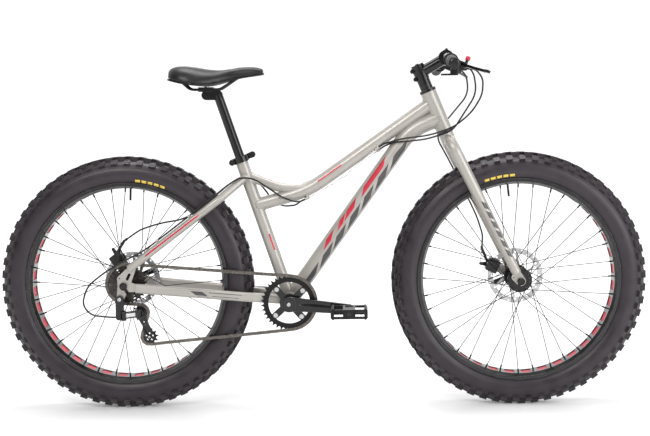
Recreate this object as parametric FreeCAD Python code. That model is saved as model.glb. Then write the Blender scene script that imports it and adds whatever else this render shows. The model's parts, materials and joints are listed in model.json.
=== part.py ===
import FreeCAD, Part
import math
import os

# A fat tire bicycle in millimetres and degrees: +X forward, +Y to the rider's left, +Z up.
# The origin is on the ground, midway between the two axles. The drive side is at -Y.

# Overall layout
WHEELBASE = 1118.0
TYRE_R = 362.0
BB_DROP = 55.0
CHAINSTAY_LENGTH = 468.0
HEAD_ANGLE = 67.5
SEAT_ANGLE = 71.5
FORK_LENGTH = 460.0
FORK_RAKE = 29.0
REAR_HUB_WIDTH = 170.0
FRONT_HUB_WIDTH = 135.0

# Fits shared by all pieces
CUT_OVERRUN = 6.0
RUNNING_FIT = 0.05
CLEARANCE = 0.3
SEAT_GAP = 0.02

# Main tubes
HEAD_TUBE_R = 22.5
HEAD_TUBE_BORE_R = 17.5
HEAD_TUBE_LENGTH = 120.0
LOWER_STACK = 10.0
SEAT_TUBE_R = 17.5
SEAT_TUBE_LENGTH = 432.0
TUBE_WALL = 2.0
TOP_TUBE_R = 19.0
TOP_TUBE_HEAD_RISE = 89.0
TOP_TUBE_BEND_FORWARD = 55.0
TOP_TUBE_BEND_RISE = 312.0
TOP_TUBE_BEND_R = 300.0
TOP_TUBE_SEAT_RISE = 288.0
BRACE_R = 13.5
BRACE_SEAT_RISE = 378.0
BRACE_BEND_BACK = 38.0
BRACE_BEND_DROP = 7.0
BRACE_BEND_R = 155.0
BRACE_REACH_FORWARD = 75.0
DOWN_TUBE_R = 23.5
DOWN_TUBE_HEAD_RISE = 40.0
DOWN_TUBE_HEAD_RUN = 89.0
DOWN_TUBE_BEND_R = 150.0

# Bottom bracket
BB_SHELL_R = 22.0
BB_SHELL_BORE_R = 18.0
BB_SHELL_WIDTH = 100.0
CUP_R = 21.0
CUP_WIDTH = 7.0
CUP_DEPTH = 14.0
SPINDLE_R = 9.5

# Stays and dropouts
CHAINSTAY_WIDTH = 17.0
CHAINSTAY_HEIGHT = 27.0
CHAINSTAY_START_X = 34.0
CHAINSTAY_START_DROP = 7.0
CHAINSTAY_BEND_X = 344.0
CHAINSTAY_BEND_DROP = 38.0
CHAINSTAY_BEND_Y = 65.0
CHAINSTAY_BEND_R = 160.0
CHAINSTAY_END_Y = 38.0
CHAINSTAY_END_RISE = 4.0
SEATSTAY_R = 11.0
SEATSTAY_START_X = 16.0
SEATSTAY_START_RISE = 48.0
SEATSTAY_BEND_X = 267.0
SEATSTAY_BEND_RISE = 236.0
SEATSTAY_BEND_Y = 68.0
SEATSTAY_BEND_R = 110.0
SEATSTAY_END_RISE = 376.0
SEATSTAY_END_Y = 13.0
DROPOUT_THICKNESS = 6.0
DROPOUT_BOSS_R = 17.0
DROPOUT_CHAIN_LUG_X = 46.0
DROPOUT_CHAIN_LUG_DROP = 8.0
DROPOUT_SEAT_LUG_X = 30.0
DROPOUT_SEAT_LUG_RISE = 58.0
DROPOUT_LUG_R = 8.0
DROPOUT_WINDOW_R = 4.0
DROPOUT_WINDOW_SHARES = (0.34, 0.56)
DROPOUT_SLOT_ANGLE = -62.0
EYELET_R = 6.0
EYELET_BORE_R = 2.1
EYELET_X = -12.0
EYELET_RISE = 22.0
FORK_EYELET_BACK = 20.0
FORK_EYELET_RISE = 10.0
HANGER_X = -11.0
HANGER_DROP = 36.0
HANGER_R = 10.0
HANGER_BOLT_R = 5.0

# Headset, fork and stem, measured in the steering frame: forward, left and up along the steering axis
STEERER_R = 14.3
STEERER_WALL = 2.3
RACE_HEIGHT = 3.0
RACE_R = 21.5
HEADSET_CUP_R = 24.0
HEADSET_SKIRT = 10.0
UPPER_CUP_HEIGHT = 8.0
SPACER_R = 18.0
SPACER_HEIGHT = 10.0
SPACER_COUNT = 3
STEM_CLAMP_R = 19.5
STEM_CLAMP_HEIGHT = 40.0
STEM_REACH = 83.0
STEM_RISE = 11.0
STEM_BODY_R = 16.0
STEM_BAR_CLAMP_R = 21.5
STEM_BAR_CLAMP_WIDTH = 42.0
STEM_BOLT_R = 2.5
STEM_BOLT_OFFSET_Y = 13.0
STEM_BOLT_SPREAD = 18.7
STEM_BOLT_HEAD_R = 4.2
STEM_BOLT_HEAD = 5.0
FACEPLATE_GAP = 2.4
PINCH_BOLT_SPREAD = 12.0
PINCH_BOLT_LENGTH = 30.0
TOP_CAP_HEIGHT = 4.5
TOP_CAP_BOLT_R = 5.0
CROWN_R = 21.0
CROWN_HEIGHT = 34.0
CROWN_DROP = 19.0
CROWN_BEND_R = 36.0
BLADE_TOP_R = 16.5
BLADE_LOW_R = 13.0
BLADE_END_RISE = 26.0
BLADE_PLUG = 30.0
BLADE_TANG_R = 9.5
FORK_DROPOUT_R = 14.0

# Handlebar and controls
BAR_R = 11.1
BAR_WALL = 2.0
BAR_CLAMP_R = 15.9
BAR_BULGE_HALF = 34.0
BAR_BEND_Y = 62.0
BAR_BEND_R = 120.0
BAR_HALF_WIDTH = 342.0
BAR_END_BACK = 4.0
BAR_END_DROP = 27.0
GRIP_R = 16.0
GRIP_LENGTH = 128.0
GRIP_FLANGE_R = 19.5
GRIP_FLANGE = 6.0
GRIP_CAP = 3.0
LEVER_PLANE_ANGLE = -22.0
PERCH_FROM_END = 147.0
PERCH_RING_R = 15.5
PERCH_WIDTH = 14.0
PERCH_ARM = 38.0
PERCH_ARM_R = 8.0
PERCH_HEIGHT = 15.0
PERCH_BARREL_R = 5.0
PERCH_BARREL_LENGTH = 24.0
LEVER_PIVOT_FORWARD = 38.0
LEVER_PIVOT_OUT = 4.0
LEVER_PIN_R = 2.5
LEVER_BOSS_R = 7.0
LEVER_BLADE_R = 4.5
LEVER_TIP_R = 6.0
LEVER_SLOT = 8.0
LEVER_THICKNESS = 7.4
LEVER_KNEE_OUT = 38.0
LEVER_KNEE_FORWARD = 62.0
LEVER_BEND_OUT = 80.0
LEVER_BEND_FORWARD = 84.0
LEVER_TIP_OUT = 118.0
LEVER_TIP_FORWARD = 92.0
SHIFTER_FROM_END = 186.0
SHIFTER_RING_WIDTH = 10.0
SHIFTER_POD_R = 15.0
SHIFTER_POD_FORWARD = 16.0
SHIFTER_POD_DROP = 27.0
SHIFTER_POD_HEIGHT = 24.0
SHIFTER_POD_LENGTH = 30.0
SHIFTER_LEVER_R = 6.0
SHIFTER_LEVER_LENGTH = 34.0
SHIFTER_LEVER_THICKNESS = 5.0

# Seatpost and saddle
SEATPOST_R = 13.6
SEATPOST_WALL = 2.5
SEATPOST_TOP_RISE = 620.0
SEATPOST_LENGTH = 350.0
COLLAR_R = 22.0
COLLAR_HEIGHT = 17.0
COLLAR_LIP = 2.0
COLLAR_LUG_R = 8.0
COLLAR_LUG_BACK = 26.0
COLLAR_LUG_WIDTH = 30.0
COLLAR_SLIT = 2.0
COLLAR_BOLT_R = 3.0
POST_HEAD_BACK = 32.0
POST_HEAD_RISE = 0.0
POST_HEAD_R = 14.0
POST_HEAD_WIDTH = 24.0
RAIL_R = 3.5
RAIL_Y = 22.0
RAIL_CLAMP_LENGTH = 42.0
RAIL_CLAMP_HEIGHT = 6.0
RAIL_CLAMP_GAP = 1.0
RAIL_LIFT = 2.0
RAIL_NUT = 2.0
RAIL_CLAMP_EDGE = 7.0
RAIL_BOLT_R = 3.5
RAIL_BEND_R = 26.0
RAIL_SPAN_BACK = 45.0
RAIL_SPAN_FRONT = 40.0
RAIL_REAR_X = 72.0
RAIL_REAR_RISE = 26.0
RAIL_REAR_Y = 30.0
RAIL_NOSE_X = 96.0
RAIL_NOSE_RISE = 36.0
RAIL_NOSE_Y = 9.0
SADDLE_REAR_X = 107.0
SADDLE_LENGTH = 271.0
SADDLE_HALF_WIDTH = 76.0
SADDLE_HEIGHT = 50.0
SADDLE_BASE_RISE = 17.0
SADDLE_BASE_THICKNESS = 5.0
SADDLE_BASE_INSET_SHARE = 0.9
SADDLE_SHOULDER_SHARE = 0.8
SADDLE_SHOULDER_RISE_SHARE = 0.7

# Wheels
CASING_R = 354.0
CASING_HALF_WIDTH = 47.0
CASING_WALL = 4.0
CASING_WIDEST_R = 314.0
SHOULDER_R = 341.0
SHOULDER_Y = 35.0
BEAD_R = 281.5
BEAD_Y = 36.5
BEAD_HEIGHT = 7.5
TREAD_PITCHES = 60
KNOB_LENGTH = 21.0
KNOB_WIDTH = 17.0
KNOB_Y = 11.5
KNOB_SINK = 4.0
SIDE_KNOB_LENGTH = 17.0
SIDE_KNOB_WIDTH = 14.0
SIDE_KNOB_HEIGHT = 7.0
SIDE_KNOB_TILT = 42.0
TUBE_R = 33.0
TUBE_CENTRE_R = 316.0
TUBE_SKIN = 1.5
VALVE_R = 3.0
VALVE_INNER_R = 236.0
FRONT_VALVE_ANGLE = 96.0
REAR_VALVE_ANGLE = 87.5
RIM_BED_R = 272.0
RIM_WALL = 2.5
RIM_BED_HALF = 27.0
RIM_HALF_WIDTH = 39.5
RIM_KNEE_R = 278.5
RIM_FLANGE_R = 288.0
RIM_CUT_LENGTH = 27.0
RIM_CUT_WIDTH = 42.0
RIM_CUT_CORNER = 6.0
RIM_STRIP_THICKNESS = 0.6
RIM_STRIP_HALF = 24.0
SPOKE_COUNT = 36
SPOKE_CROSSES = 3
SPOKE_R = 1.0
SPOKE_RIM_Y = 17.5
NIPPLE_R = 2.2
NIPPLE_LENGTH = 13.0
NIPPLE_HOLE_R = 2.6
FLANGE_R = 35.0
FLANGE_HOLE_R = 29.5
FLANGE_THICKNESS = 4.0
SPOKE_HOLE_R = 1.3
SPOKE_BOW = 1.2
HUB_BODY_R = 17.0
HUB_NECK_R = 20.0
FRONT_FLANGE_RIGHT_Y = -47.0
FRONT_FLANGE_LEFT_Y = 33.0
REAR_FLANGE_RIGHT_Y = -33.0
REAR_FLANGE_LEFT_Y = 50.0
AXLE_R = 5.0
LOCKNUT_R = 9.0
LOCKNUT_WIDTH = 6.0
SKEWER_NUT_R = 10.5
SKEWER_NUT_WIDTH = 13.0
CAM_WASHER_R = 9.0
CAM_WASHER = 5.0
CAM_R = 7.0
CAM_LUG_R = 5.0
CAM_HALF_WIDTH = 9.0
CAM_PIN_R = 3.0
CAM_LEVER_LENGTH = 60.0
CAM_LEVER_START = 14.0
CAM_LEVER_R = 6.0
CAM_LEVER_TIP_R = 9.0
CAM_LEVER_WIDTH = 7.0
FRONT_SKEWER_ANGLE = 205.0
REAR_SKEWER_ANGLE = 20.0
COLLAR_LEVER_ANGLE = 21.5

# Disc brakes
ROTOR_R = 80.0
ROTOR_INNER_R = 64.0
ROTOR_THICKNESS = 1.8
ROTOR_INSET = 16.0
ROTOR_CARRIER_R = 27.0
ROTOR_BORE_R = 17.5
ROTOR_BOLT_CIRCLE_R = 22.0
ROTOR_BOLT_R = 3.6
ROTOR_BOLT_HEAD = 2.5
ROTOR_ARM_R = 3.2
ROTOR_ARM_COUNT = 6
ROTOR_ARM_SWEEP = 28.0
ROTOR_HOLE_R = 2.6
ROTOR_HOLE_COUNT = 24
ROTOR_HOLE_INSET = 4.5
CALIPER_REACH = 25.0
CALIPER_BRIDGE = 10.0
CALIPER_HALF_LENGTH = 19.0
CALIPER_INBOARD = 14.0
CALIPER_CORNER = 4.0
CALIPER_SLOT = 8.0
PAD_THICKNESS = 2.4
PAD_HALF_LENGTH = 13.0
PAD_DEPTH = 18.0
CALIPER_PIVOT_INSET = 9.0
CALIPER_PIN_R = 4.0
CALIPER_ARM_LENGTH = 34.0
CALIPER_ARM_R = 4.0
CALIPER_ARM_BOSS_R = 9.0
CALIPER_ARM_WIDTH = 6.0
CALIPER_STOP_RISE = 40.0
CALIPER_STOP_R = 4.0
CALIPER_STOP_LENGTH = 12.0
CALIPER_LUG_R = 13.0
FRONT_CALIPER_ANGLE = 155.0
REAR_CALIPER_ANGLE = 126.0
FRONT_ARM_ANGLE = 175.0
REAR_ARM_ANGLE = 125.0

# Drive
CHAIN_PITCH = 12.7
ROLLER_R = 3.85
CHAIN_PIN_R = 1.8
CHAIN_PLATE_R = 4.2
CHAIN_PLATE = 1.0
CHAIN_INNER_GAP = 2.4
CHAIN_PLATE_GAP = 0.06
CHAIN_PIN_HEAD = 0.3
ROLLER_SEAT_R = 4.02
SEAT_ARC_ANGLE = 65.0
TOOTH_HEIGHT = 3.1
TOOTH_TIP = 2.0
TOOTH_BEVEL = 0.7
TOOTH_BEVEL_DEPTH = 3.0
RING_TEETH = 38
RING_THICKNESS = 2.0
RING_Y = -68.0
RING_INNER_R = 59.0
RING_BOLT_CIRCLE_R = 52.0
RING_TAB_R = 9.0
RING_BOLT_R = 5.0
RING_BOLT_HEAD_R = 6.5
RING_BOLT_HEAD = 2.0
COG_TEETH = (11, 13, 15, 17, 19, 21, 24, 28)
COG_SPACING = 4.8
COG_THICKNESS = 1.8
SMALL_COG_Y = -78.0
FREEHUB_R = 16.5
LOCKRING_R = 18.5
LOCKRING_WIDTH = 2.5
COG_WINDOW_COUNT = 6
COG_WINDOW_MARGIN = 9.0
CRANK_LENGTH = 170.0
CRANK_ANGLE = -5.5
CRANK_BOSS_R = 20.0
CRANK_END_R = 14.0
CRANK_THICKNESS = 13.0
CRANK_INNER_Y = 84.0
CRANK_BOSS_INNER_Y = 59.0
CRANK_BOSS_OUTER_Y = 101.0
CRANK_CAP_R = 12.0
CRANK_CAP = 2.5
CRANK_EDGE = 2.5
SPIDER_THICKNESS = 5.0
SPIDER_ARM_R = 9.5
SPIDER_HUB_R = 27.0
SPIDER_ARMS = 4
SPIDER_START = 42.0
PEDAL_LENGTH = 102.0
PEDAL_WIDTH = 84.0
PEDAL_HEIGHT = 26.0
PEDAL_BAR = 9.0
PEDAL_SIDE = 6.0
PEDAL_BLOCK = 34.0
PEDAL_BARREL_R = 10.0
PEDAL_AXLE_R = 5.0
PEDAL_GAP = 6.0
PEDAL_FLAT = 3.0
PEDAL_TOOTH = 5.0
PEDAL_TOOTH_HEIGHT = 2.5
PEDAL_TEETH = 7
PEDAL_REFLECTOR_WIDTH = 40.0
PEDAL_REFLECTOR_HEIGHT = 14.0
PEDAL_REFLECTOR = 4.0
PEDAL_WINDOW_HEIGHT_SHARE = 0.5

# Derailleur
PULLEY_TEETH = 11
PULLEY_THICKNESS = 2.0
PULLEY_BORE_R = 3.0
GUIDE_X = 39.0
GUIDE_DROP = 82.0
CAGE_LENGTH = 74.0
CAGE_ANGLE_LOW = -88.0
CAGE_ANGLE_HIGH = -52.0
CAGE_PLATE = 1.2
CAGE_GAP = 1.0
CAGE_END_R = 15.0
CAGE_WAIST_R = 8.0
CAGE_BOLT_HEAD_R = 5.0
CAGE_BOLT_HEAD = 2.0
LINK_FORWARD = 38.0
LINK_INWARD = 32.0
LINK_PAIR_BACK = 6.0
LINK_PAIR_INWARD = 15.0
LINK_R = 4.6
LINK_HEIGHT = 17.0
LINK_PLATE = 5.0
LINK_PIN_R = 2.2
KNUCKLE_EAR = 4.0
KNUCKLE_R = 7.5
KNUCKLE_BACK = 8.0
KNUCKLE_Y = -107.0
KNUCKLE_HANG_R = 11.0
KNUCKLE_HANG_WIDTH = 12.0
LOWER_PIVOT_WIDTH = 13.0
LOWER_PIVOT_R = 11.0

# Cables
HOUSING_R = 2.4
WIRE_R = 0.9
STOP_R = 4.0
STOP_LENGTH = 12.0
STOP_POST_R = 2.5
SHIFT_STOP_Y = -15.0
BRAKE_STOP_Y = -5.0
FRONT_STOP_RUN = 204.0
REAR_STOP_BACK = 2.0
REAR_STOP_DROP = 20.5
REAR_STOP_ANGLE = 25.0
STOP_LEAD = 14.0
WIRE_SAG = 14.0
CLIP_LENGTH = 8.0
CLIP_R = 4.0
CLIP_POST_R = 2.5
STAY_TOP_RUN = 268.0
SHIFT_STAY_END_RUN = 64.0
BRAKE_STAY_END_RUN = 190.0
SHIFT_CLIP_RUNS = (112.0, 225.0)
BRAKE_CLIP_RUNS = (235.0,)
BLADE_CLIP_RUNS = (50.0, 180.0)
SHIFT_FRONT_ROUTE = (
    (426.0, -157.0, 954.0), (446.0, -151.0, 929.0), (446.0, -135.0, 886.0), (420.0, -106.0, 838.0),
    (374.0, -75.0, 798.0), (328.0, -56.0, 781.0),
    (294.0, -50.0, 773.0), (238.0, -42.0, 767.0), (207.0, -28.0, 760.0),
)
BRAKE_FRONT_ROUTE = (
    (391.0, -138.0, 970.0), (424.0, -112.0, 950.0), (434.0, -98.0, 890.0), (372.0, -56.0, 788.0),
    (328.0, -44.0, 772.0), (294.0, -42.0, 763.0), (238.0, -34.0, 757.0), (208.0, -19.0, 756.0),
)
SHIFT_REAR_ROUTE = (
    (-75.0, -24.0, 590.0), (-110.0, -27.0, 602.0), (-150.0, -27.0, 630.0), (-190.0, -28.0, 657.0),
    (-228.0, -36.0, 662.0), (-262.0, -50.0, 643.0),
)
SHIFT_LOOP_ROUTE = (
    (-560.0, -93.0, 432.0), (-612.0, -97.0, 402.0), (-662.0, -97.0, 362.0), (-676.0, -97.0, 312.0),
    (-652.0, -97.0, 281.0),
)
BRAKE_REAR_ROUTE = (
    (-75.0, 2.0, 578.0), (-112.0, 20.0, 574.0), (-142.0, 29.0, 590.0), (-165.0, 29.0, 625.0),
    (-195.0, 29.0, 656.0), (-228.0, 36.0, 662.0), (-262.0, 50.0, 643.0),
)
BRAKE_LEAVE_ROUTE = ((-480.0, 86.0, 523.0), (-538.0, 94.3, 504.0))
FRONT_BRAKE_ROUTE = (
    (391.0, 138.0, 970.0), (424.0, 112.0, 950.0), (430.0, 98.0, 890.0), (372.0, 90.0, 822.0),
    (330.0, 75.0, 772.0),
)
FRONT_BRAKE_LEAVE_ROUTE = ((452.0, 75.0, 530.0), (467.0, 76.8, 480.0))

# Shares and counts that the sums below use
CORD_ARC_SHARE = 0.45
BISECTIONS = 34
EDGE_ALONG_SHARE = 0.5
FACE_SQUARE_SHARE = 0.9

V = FreeCAD.Vector
ORIGIN = V(0, 0, 0)
Y = V(0, 1, 0)
Z = V(0, 0, 1)


def direction(angle):
    """The unit vector in the side view, this many degrees above straight forward."""
    return V(math.cos(math.radians(angle)), 0, math.sin(math.radians(angle)))


REAR_AXLE = V(-WHEELBASE / 2, 0, TYRE_R)
FRONT_AXLE = V(WHEELBASE / 2, 0, TYRE_R)
BB = V(REAR_AXLE.x + math.sqrt(CHAINSTAY_LENGTH**2 - BB_DROP**2), 0, TYRE_R - BB_DROP)
SEAT_UP = direction(180 - SEAT_ANGLE)
HEAD_UP = direction(180 - HEAD_ANGLE)
HEAD_FORWARD = direction(90 - HEAD_ANGLE)
CROWN = FRONT_AXLE + HEAD_UP * FORK_LENGTH - HEAD_FORWARD * FORK_RAKE
HEAD_TUBE_TOP = LOWER_STACK + HEAD_TUBE_LENGTH
SPACER_LOW = HEAD_TUBE_TOP + UPPER_CUP_HEIGHT + CLEARANCE
STEM_LOW = SPACER_LOW + SPACER_COUNT * SPACER_HEIGHT
STEM_TOP = STEM_LOW + STEM_CLAMP_HEIGHT
STEM_MIDDLE = (STEM_LOW + STEM_TOP) / 2
BLADE_Y = (FRONT_HUB_WIDTH + DROPOUT_THICKNESS) / 2
STAY_Y = (REAR_HUB_WIDTH + DROPOUT_THICKNESS) / 2
FRONT_ROTOR_Y = FRONT_HUB_WIDTH / 2 - ROTOR_INSET
REAR_ROTOR_Y = REAR_HUB_WIDTH / 2 - ROTOR_INSET
LARGE_COG_Y = SMALL_COG_Y + COG_SPACING * (len(COG_TEETH) - 1)
SADDLE_STATION_SHARES = (
    (0.0, 0.50, 0.34, 0.80),
    (0.05, 0.80, 0.26, 0.95),
    (0.16, 1.00, 0.12, 1.0),
    (0.34, 0.93, 0.0, 0.88),
    (0.48, 0.66, 0.03, 0.82),
    (0.62, 0.38, 0.22, 0.90),
    (0.80, 0.27, 0.44, 1.0),
    (0.94, 0.23, 0.54, 0.96),
    (1.0, 0.15, 0.60, 0.86),
)


def head_point(forward, left, up):
    """A point in the steering frame, which has its origin on the crown race seat."""
    return CROWN + HEAD_FORWARD * forward + Y * left + HEAD_UP * up


def seat_point(up):
    """A point on the seat tube's axis, measured from the bottom bracket."""
    return BB + SEAT_UP * up


def side_point(base, forward, left, up):
    """A point this far forward, left and up from another."""
    return base + V(forward, left, up)


BAR_CENTRE = head_point(STEM_REACH, 0, STEM_MIDDLE + STEM_RISE)


def rod(start, end, radius):
    """A solid round rod between two points."""
    return Part.makeCylinder(radius, (end - start).Length, start, end - start)


def sleeve(start, end, outer, inner):
    """A round tube between two points."""
    return rod(start, end, outer).cut(rod(start, end, inner))


def cross_rod(centre, y_from, y_to, radius):
    """A rod across the bicycle, between two distances from its middle plane."""
    return rod(V(centre.x, y_from, centre.z), V(centre.x, y_to, centre.z), radius)


def cross_sleeve(centre, y_from, y_to, outer, inner):
    """A ring across the bicycle, between two distances from its middle plane."""
    return sleeve(V(centre.x, y_from, centre.z), V(centre.x, y_to, centre.z), outer, inner)


def round_face(discs):
    """A face in the plane of the side view whose edge goes round the discs (x, z, radius), anticlockwise."""
    normals = []
    for (ax, az, ar), (bx, bz, br) in zip(discs, discs[1:] + discs[:1]):
        run = math.hypot(bx - ax, bz - az)
        lean = math.asin((ar - br) / run)
        normals.append(math.atan2(-(bx - ax), bz - az) + lean)
    edges = []
    for i, (x, z, radius) in enumerate(discs):
        first = normals[i - 1]
        last = normals[i]
        while last < first:
            last += 2 * math.pi
        middle = (first + last) / 2
        here = [V(x + radius * math.cos(a), 0, z + radius * math.sin(a)) for a in (first, middle, last)]
        if edges:
            edges.append(Part.LineSegment(edges[-1].EndPoint, here[0]))
        edges.append(Part.Arc(*here))
    edges.append(Part.LineSegment(edges[-1].EndPoint, edges[0].StartPoint))
    return Part.Face(Part.Wire([e.toShape() for e in edges]))


def round_plate(discs, y_from, y_to):
    """A plate across the bicycle with the outline of round_face."""
    face = round_face(discs)
    face.translate(V(0, y_from, 0))
    return face.extrude(V(0, y_to - y_from, 0))


def turned(profile, centre):
    """A ring about the cross axis through centre, from a closed outline of (radius, y)."""
    points = [V(centre.x, y, centre.z + radius) for radius, y in profile]
    face = Part.Face(Part.makePolygon(points + points[:1]))
    return face.revolve(centre, Y, 360)


def placed(shape, origin, x_axis, z_axis):
    """The shape moved from its own axes to these."""
    turn = FreeCAD.Rotation(x_axis, z_axis.cross(x_axis), z_axis, "ZXY")
    moved = shape.copy()
    moved.Placement = FreeCAD.Placement(origin, turn).multiply(moved.Placement)
    return moved


def middle_box(length, width, height):
    """A box about the origin."""
    return Part.makeBox(length, width, height, V(-length / 2, -width / 2, -height / 2))


def edges_across(shape):
    """The edges of a shape that run from side to side."""
    return [edge for edge in shape.Edges if abs(edge.tangentAt(edge.FirstParameter).y) > EDGE_ALONG_SHARE]


def fused(shapes):
    """One solid from several that meet."""
    return shapes[0].fuse(shapes[1:]).removeSplitter()


def mirrored(shape):
    """The same piece on the other side of the bicycle."""
    return shape.mirror(ORIGIN, Y)


def bent_path(points, radius=None):
    """A wire of straight runs with tangent arcs, as large as the runs allow if no radius is given."""
    edges = []
    start = points[0]
    for before, corner, after in zip(points, points[1:], points[2:]):
        back = (before - corner).normalize()
        ahead = (after - corner).normalize()
        half_turn = (math.pi - back.getAngle(ahead)) / 2
        run = min((before - corner).Length, (after - corner).Length)
        bend = radius or CORD_ARC_SHARE * run / math.tan(half_turn)
        reach = bend * math.tan(half_turn)
        middle = (back + ahead).normalize()
        inside = corner + middle * (bend / math.cos(half_turn) - bend)
        edges.append(Part.LineSegment(start, corner + back * reach).toShape())
        edges.append(Part.Arc(corner + back * reach, inside, corner + ahead * reach).toShape())
        start = corner + ahead * reach
    edges.append(Part.LineSegment(start, points[-1]).toShape())
    return Part.Wire(edges)


def pipe(points, radius, bend=None):
    """A round bar along a bent path."""
    circle = Part.Wire([Part.makeCircle(radius, points[0], points[1] - points[0])])
    return bent_path(points, bend).makePipeShell([circle], True, False)


def hollow_pipe(points, radius, wall, bend):
    """A round tube along a bent path."""
    return pipe(points, radius, bend).cut(pipe(points, radius - wall, bend))


def save(name, shapes):
    """Write the solids of one sub-part."""
    solids = [solid for shape in shapes for solid in shape.Solids]
    Part.makeCompound(solids).exportStep(f"parts/{name}.step")


# Main tubes of the frame
def head_tube_solid():
    low = head_point(0, 0, LOWER_STACK)
    return rod(low, head_point(0, 0, HEAD_TUBE_TOP), HEAD_TUBE_R)


def head_tube():
    bore = rod(head_point(0, 0, 0), head_point(0, 0, HEAD_TUBE_TOP + CUT_OVERRUN), HEAD_TUBE_BORE_R)
    return head_tube_solid().cut(bore)


def seat_tube_solid():
    return rod(BB, seat_point(SEAT_TUBE_LENGTH), SEAT_TUBE_R)


def bb_shell_solid():
    return cross_rod(BB, -BB_SHELL_WIDTH / 2, BB_SHELL_WIDTH / 2, BB_SHELL_R)


def seat_tube():
    bore = rod(BB, seat_point(SEAT_TUBE_LENGTH + CUT_OVERRUN), SEATPOST_R + RUNNING_FIT)
    return seat_tube_solid().cut([bore, bb_shell_solid()])


def top_tube_points():
    head = head_point(0, 0, LOWER_STACK + TOP_TUBE_HEAD_RISE)
    bend = side_point(BB, TOP_TUBE_BEND_FORWARD, 0, TOP_TUBE_BEND_RISE)
    return [seat_point(TOP_TUBE_SEAT_RISE), bend, head]


def top_tube():
    tube = hollow_pipe(top_tube_points(), TOP_TUBE_R, TUBE_WALL, TOP_TUBE_BEND_R)
    return tube.cut([head_tube_solid(), seat_tube_solid()])


def brace_points():
    bend, head = top_tube_points()[1:]
    run = (head - bend).normalize()
    low = side_point(bend, -BRACE_BEND_BACK, 0, -BRACE_BEND_DROP)
    return [seat_point(BRACE_SEAT_RISE), low, bend + run * BRACE_REACH_FORWARD]


def top_tube_brace():
    brace = hollow_pipe(brace_points(), BRACE_R, TUBE_WALL, BRACE_BEND_R)
    return brace.cut([pipe(top_tube_points(), TOP_TUBE_R, TOP_TUBE_BEND_R), seat_tube_solid()])


def down_tube_points():
    head = head_point(0, 0, LOWER_STACK + DOWN_TUBE_HEAD_RISE)
    return [BB, head - HEAD_FORWARD * DOWN_TUBE_HEAD_RUN, head]


def down_tube():
    tube = hollow_pipe(down_tube_points(), DOWN_TUBE_R, TUBE_WALL, DOWN_TUBE_BEND_R)
    top = pipe(top_tube_points(), TOP_TUBE_R, TOP_TUBE_BEND_R)
    return tube.cut([head_tube_solid(), bb_shell_solid(), seat_tube_solid(), top])


def bottom_bracket():
    shell = bb_shell_solid().cut(cross_rod(BB, -BB_SHELL_WIDTH, BB_SHELL_WIDTH, BB_SHELL_BORE_R))
    face = BB_SHELL_WIDTH / 2
    bore = SPINDLE_R + RUNNING_FIT
    flange = cross_sleeve(BB, face, face + CUP_WIDTH, CUP_R, bore)
    skirt = cross_sleeve(BB, face - CUP_DEPTH, face, BB_SHELL_BORE_R, bore)
    cup = fused([flange, skirt])
    return [shell, cup, mirrored(cup)]


# Rear triangle
def chainstay():
    points = [
        side_point(REAR_AXLE, CHAINSTAY_START_X, -STAY_Y, -CHAINSTAY_START_DROP),
        side_point(REAR_AXLE, CHAINSTAY_BEND_X, -CHAINSTAY_BEND_Y, -CHAINSTAY_BEND_DROP),
        side_point(BB, 0, -CHAINSTAY_END_Y, CHAINSTAY_END_RISE),
    ]
    outer = oval_pipe(points, CHAINSTAY_WIDTH, CHAINSTAY_HEIGHT)
    inner = oval_pipe(points, CHAINSTAY_WIDTH - 2 * TUBE_WALL, CHAINSTAY_HEIGHT - 2 * TUBE_WALL)
    cups = cross_rod(BB, -BB_SHELL_WIDTH, BB_SHELL_WIDTH, CUP_R + CLEARANCE)
    return outer.cut(inner).cut([bb_shell_solid(), cups, rear_dropout_blank()])


def oval_pipe(points, width, height):
    """A flat-sided oval bar along the chainstay's path."""
    ahead = (points[1] - points[0]).normalize()
    across = ahead.cross(Z).normalize()
    up = across.cross(ahead).normalize()
    rise = (height - width) / 2
    signs = ((1, -1), (1, 1), (-1, 1), (-1, -1))
    corners = [points[0] + across * (s * width / 2) + up * (t * rise) for s, t in signs]
    top = points[0] + up * (height / 2)
    low = points[0] - up * (height / 2)
    edges = [
        Part.LineSegment(corners[0], corners[1]).toShape(),
        Part.Arc(corners[1], top, corners[2]).toShape(),
        Part.LineSegment(corners[2], corners[3]).toShape(),
        Part.Arc(corners[3], low, corners[0]).toShape(),
    ]
    return bent_path(points, CHAINSTAY_BEND_R).makePipeShell([Part.Wire(edges)], True, False)


def seatstay_points():
    return [
        side_point(REAR_AXLE, SEATSTAY_START_X, -STAY_Y, SEATSTAY_START_RISE),
        side_point(REAR_AXLE, SEATSTAY_BEND_X, -SEATSTAY_BEND_Y, SEATSTAY_BEND_RISE),
        seat_point(SEATSTAY_END_RISE) - Y * SEATSTAY_END_Y,
    ]


def seatstay():
    tube = hollow_pipe(seatstay_points(), SEATSTAY_R, TUBE_WALL, SEATSTAY_BEND_R)
    half = Part.makeBox(WHEELBASE, WHEELBASE, WHEELBASE, V(-WHEELBASE, 0, 0))
    return tube.cut([seat_tube_solid(), rear_dropout_blank(), half])


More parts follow.
